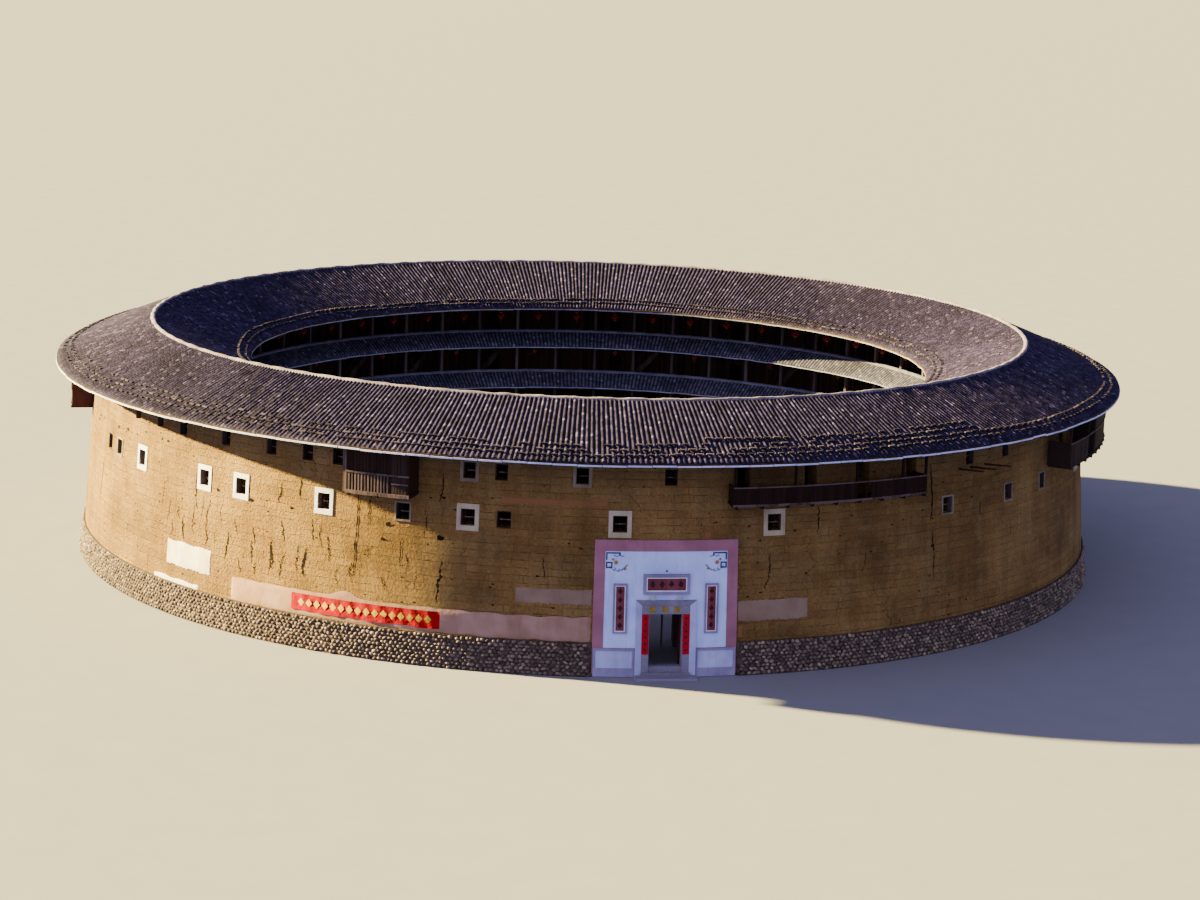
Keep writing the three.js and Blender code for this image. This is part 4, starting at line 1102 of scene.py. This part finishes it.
boxes("lookout_boards_red_brown", red, red_planks_painted_shade)

# Poles
# Three bare fir poles stick out of the wall right of the long lookout, for drying. Each is
# pushed into a putlog hole, rises a little and tapers to its end.
POLE_FOOT_R, POLE_RISE = 31.5, 0.09
POLE_RINGS = ((31.5, 0.004), (31.5, 0.06), (32.2, 0.058), (32.9, 0.052), (33.5, 0.046), (33.5, 0.004))
ring_angle = np.arange(8) * np.pi / 4
poles = []
for a, z in ((33.95, 10.32), (35.8, 10.32), (38.2, 10.32)):
    rings = []
    for r, thick in POLE_RINGS:
        along, up = thick * np.cos(ring_angle), thick * np.sin(ring_angle)
        rings.append(place(a, r, z + (up + POLE_RISE * (r - POLE_FOOT_R))) + aside(a, along))
    ends = [[7, 6, 5, 4], [7, 4, 3, 0], [3, 2, 1, 0]]
    ends += [[q + 40 for q in end[::-1]] for end in ends]
    poles.append((np.vstack(rings), np.vstack([weave(6, 8, True), ends])))
together("wall_poles", poles, fir_dark, smooth=True)

# Lanterns
# Red silk lanterns, one in each bay under the inner eave, with a gilt cap and a tassel, and
# smaller faded ones deeper in the galleries. Each hangs from a cord tied to a rafter or a joist.

# Lantern silk: dyed gauze stretched on bamboo ribs, dusty red with paler ribs. The older ones
# have faded to a brick colour.
silk = mottled("dyed_lantern_silk", "#500c0d", "#761713", 6.0, 0.6, 0.01, detail=2.0)
faded = mottled("faded_lantern_silk", "#6f2613", "#9c4220", 6.0, 0.6, 0.01, detail=2.0)
# Tassel silk: twisted threads, a darker red than the globe, with gilt paper caps above.
tassel_silk = mottled("twisted_tassel_silk", "#5c0f0d", "#8a1d16", 20.0, 0.7, 0.004, detail=2.0)


def turned(profile, sides):
    """A profile of radius and height turned round and ribbed, as points, quads and the flat
    ends that close its first and last ring."""
    a = np.arange(sides) * 2 * np.pi / sides
    ribs = 1 + 0.035 * np.cos(a * sides / 2)
    p = np.array(profile)
    points = np.stack([p[:, :1] * np.cos(a) * ribs, p[:, :1] * np.sin(a) * ribs, p[:, 1:] + 0 * a], -1)
    rim = np.arange(sides)
    ends = np.stack([rim[::-1], rim + sides * (len(p) - 1)])
    return points.reshape(-1, 3), [weave(len(p), sides, True), ends]


# profiles by radius and height, and each row of lanterns: azimuths, radius, height and size
GLOBE = [(0.16, -0.25), (0.31, -0.15), (0.37, 0.0), (0.31, 0.15), (0.16, 0.25)]
TASSEL = [(0.035, -0.62), (0.03, -0.36), (0.012, -0.34), (0.012, -0.29)]
CAPS = [(0.15, -0.29), (0.15, -0.24), (0.01, -0.23), (0.01, 0.23), (0.15, 0.24), (0.14, 0.29)]
mid_bay = bay + BAY_WIDE / 2
HUNG = [
    (mid_bay, 24.2, 11.1, 0.8, silk, "lanterns"),
    (mid_bay[::2], 25.3, 11.6, 0.55, faded, "lanterns_inner"),
    (mid_bay[1::2], 25.7, 8.2, 0.55, faded, "lanterns_third"),
]
for a, r, z, scale, material, name in HUNG:
    frames = lay_frames(a, scale, scale, scale)
    at = place(a, np.full(a.size, r), z)
    top = JOIST_TOPS[2] if name == "lanterns_third" else under_inner(r) - 0.02
    cord_line = [(0.014, 0.28), (0.014, (top - z) / scale)]
    for part, profile, sides, finish, slot in (("", GLOBE, 14, material, "banner_cloth"),
                                               ("_tassels", TASSEL, 6, tassel_silk, "banner_cloth"),
                                               ("_cords", cord_line, 4, tassel_silk, "banner_cloth"),
                                               ("_caps", CAPS, 8, gilt, "painted_board")):
        shape, quads = turned(profile, sides)
        points, faces = copies(shape, quads, frames, at)
        piece(name + part, points, faces, finish)

# Banner
# A long red cotton cloth tied flat to the wall over the lime band, with one row of plain
# yellow lozenges painted along it.
BANNER_AZ, BANNER_LONG, BANNER_FOOT, BANNER_TALL = -38.4, 16.3, 2.1, 0.95
SIGN_Z = 2.58

# Banner cotton: plain weave, dyed red, slack between its ties, the sun has made it uneven.
banner_cloth = mottled("dyed_banner_cotton", "#8e060b", "#b3080e", 3.0, 0.85, 0.02, detail=4.0)
# Cloth paint: thick yellow, a little cracked.
yellow = mottled("yellow_cloth_paint", "#d3a62a", "#ecc63e", 9.0, 0.8, 0.004)
u, v = np.meshgrid(np.linspace(0, 1, 160), np.linspace(0, 1, 12))
az = BANNER_AZ + BANNER_LONG * u
z = BANNER_FOOT + BANNER_TALL * v + 0.03 * np.sin(u * np.pi * 6) * (1 - v)
r = WALL_FOOT - BATTER * z + 0.05 + 0.012 * np.sin(u * 60 + 3 * v) + 0.01 * np.sin(u * 23)
points = place(az, r, z).reshape(-1, 3)
banner = piece("banner_sheet", points, [weave(12, 160)], banner_cloth)
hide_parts("banner")
sign_r = WALL_FOOT - BATTER * SIGN_Z + 0.075
signs = [[a, 0, sign_r, SIGN_Z, 0.42, 0.006, 0.5] for a in np.linspace(-37.2, -23.3, 16)]
lozenges("banner_lozenges", signs, yellow)

# Floor and light
# A pale studio floor that throws no light back, one low warm sun from the left, a wide bluish
# fill from the front left and a weak blue sky.
FLOOR_HALF, FLOOR_Z = 600, -0.004
floor_mesh = bpy.data.meshes.new("studio_floor")
corners = [(x * FLOOR_HALF, y * FLOOR_HALF, FLOOR_Z) for x, y in ((-1, -1), (1, -1), (1, 1), (-1, 1))]
floor_mesh.from_pydata(corners, [], [(0, 1, 2, 3)])
studio_floor = bpy.data.objects.new("studio_floor", floor_mesh)
bpy.context.scene.collection.objects.link(studio_floor)
studio_floor.visible_diffuse = False
# Studio floor: matt paint, a pale warm grey that is almost one tone.
pale_floor = mottled("pale_floor", "#84827f", "#8b8986", 0.4, 0.9, 0.0, 2.0, (0.0, 1.0))
floor_mesh.materials.append(pale_floor)


def sun_light(name, energy, spread, colour, az, elevation):
    """A far lamp: it stands at an azimuth round from the gate and at a height over the ground."""
    lamp = bpy.data.lights.new(name, "SUN")
    lamp.energy = energy
    lamp.angle = math.radians(spread)
    lamp.color = colour
    made = bpy.data.objects.new(name, lamp)
    turn_down = Matrix.Rotation(math.radians(90 - elevation), 4, "X")
    made.matrix_world = Matrix.Rotation(math.radians(az), 4, "Z") @ turn_down
    bpy.context.scene.collection.objects.link(made)


# name, strength, spread in degrees, colour, azimuth and elevation
sun_light("low_warm_sun", 62.0, 1.5, (1.0, 0.83, 0.35), -113.0, 21.6)
sun_light("soft_front_fill", 1.45, 90.0, (0.64, 0.58, 0.92), -45.0, 25.0)
world = bpy.data.worlds.new("studio")
world.use_nodes = True
sky = world.node_tree.nodes["Background"].inputs
sky["Color"].default_value = (0.47, 0.51, 1.0, 1.0)
sky["Strength"].default_value = 0.7
bpy.context.scene.world = world
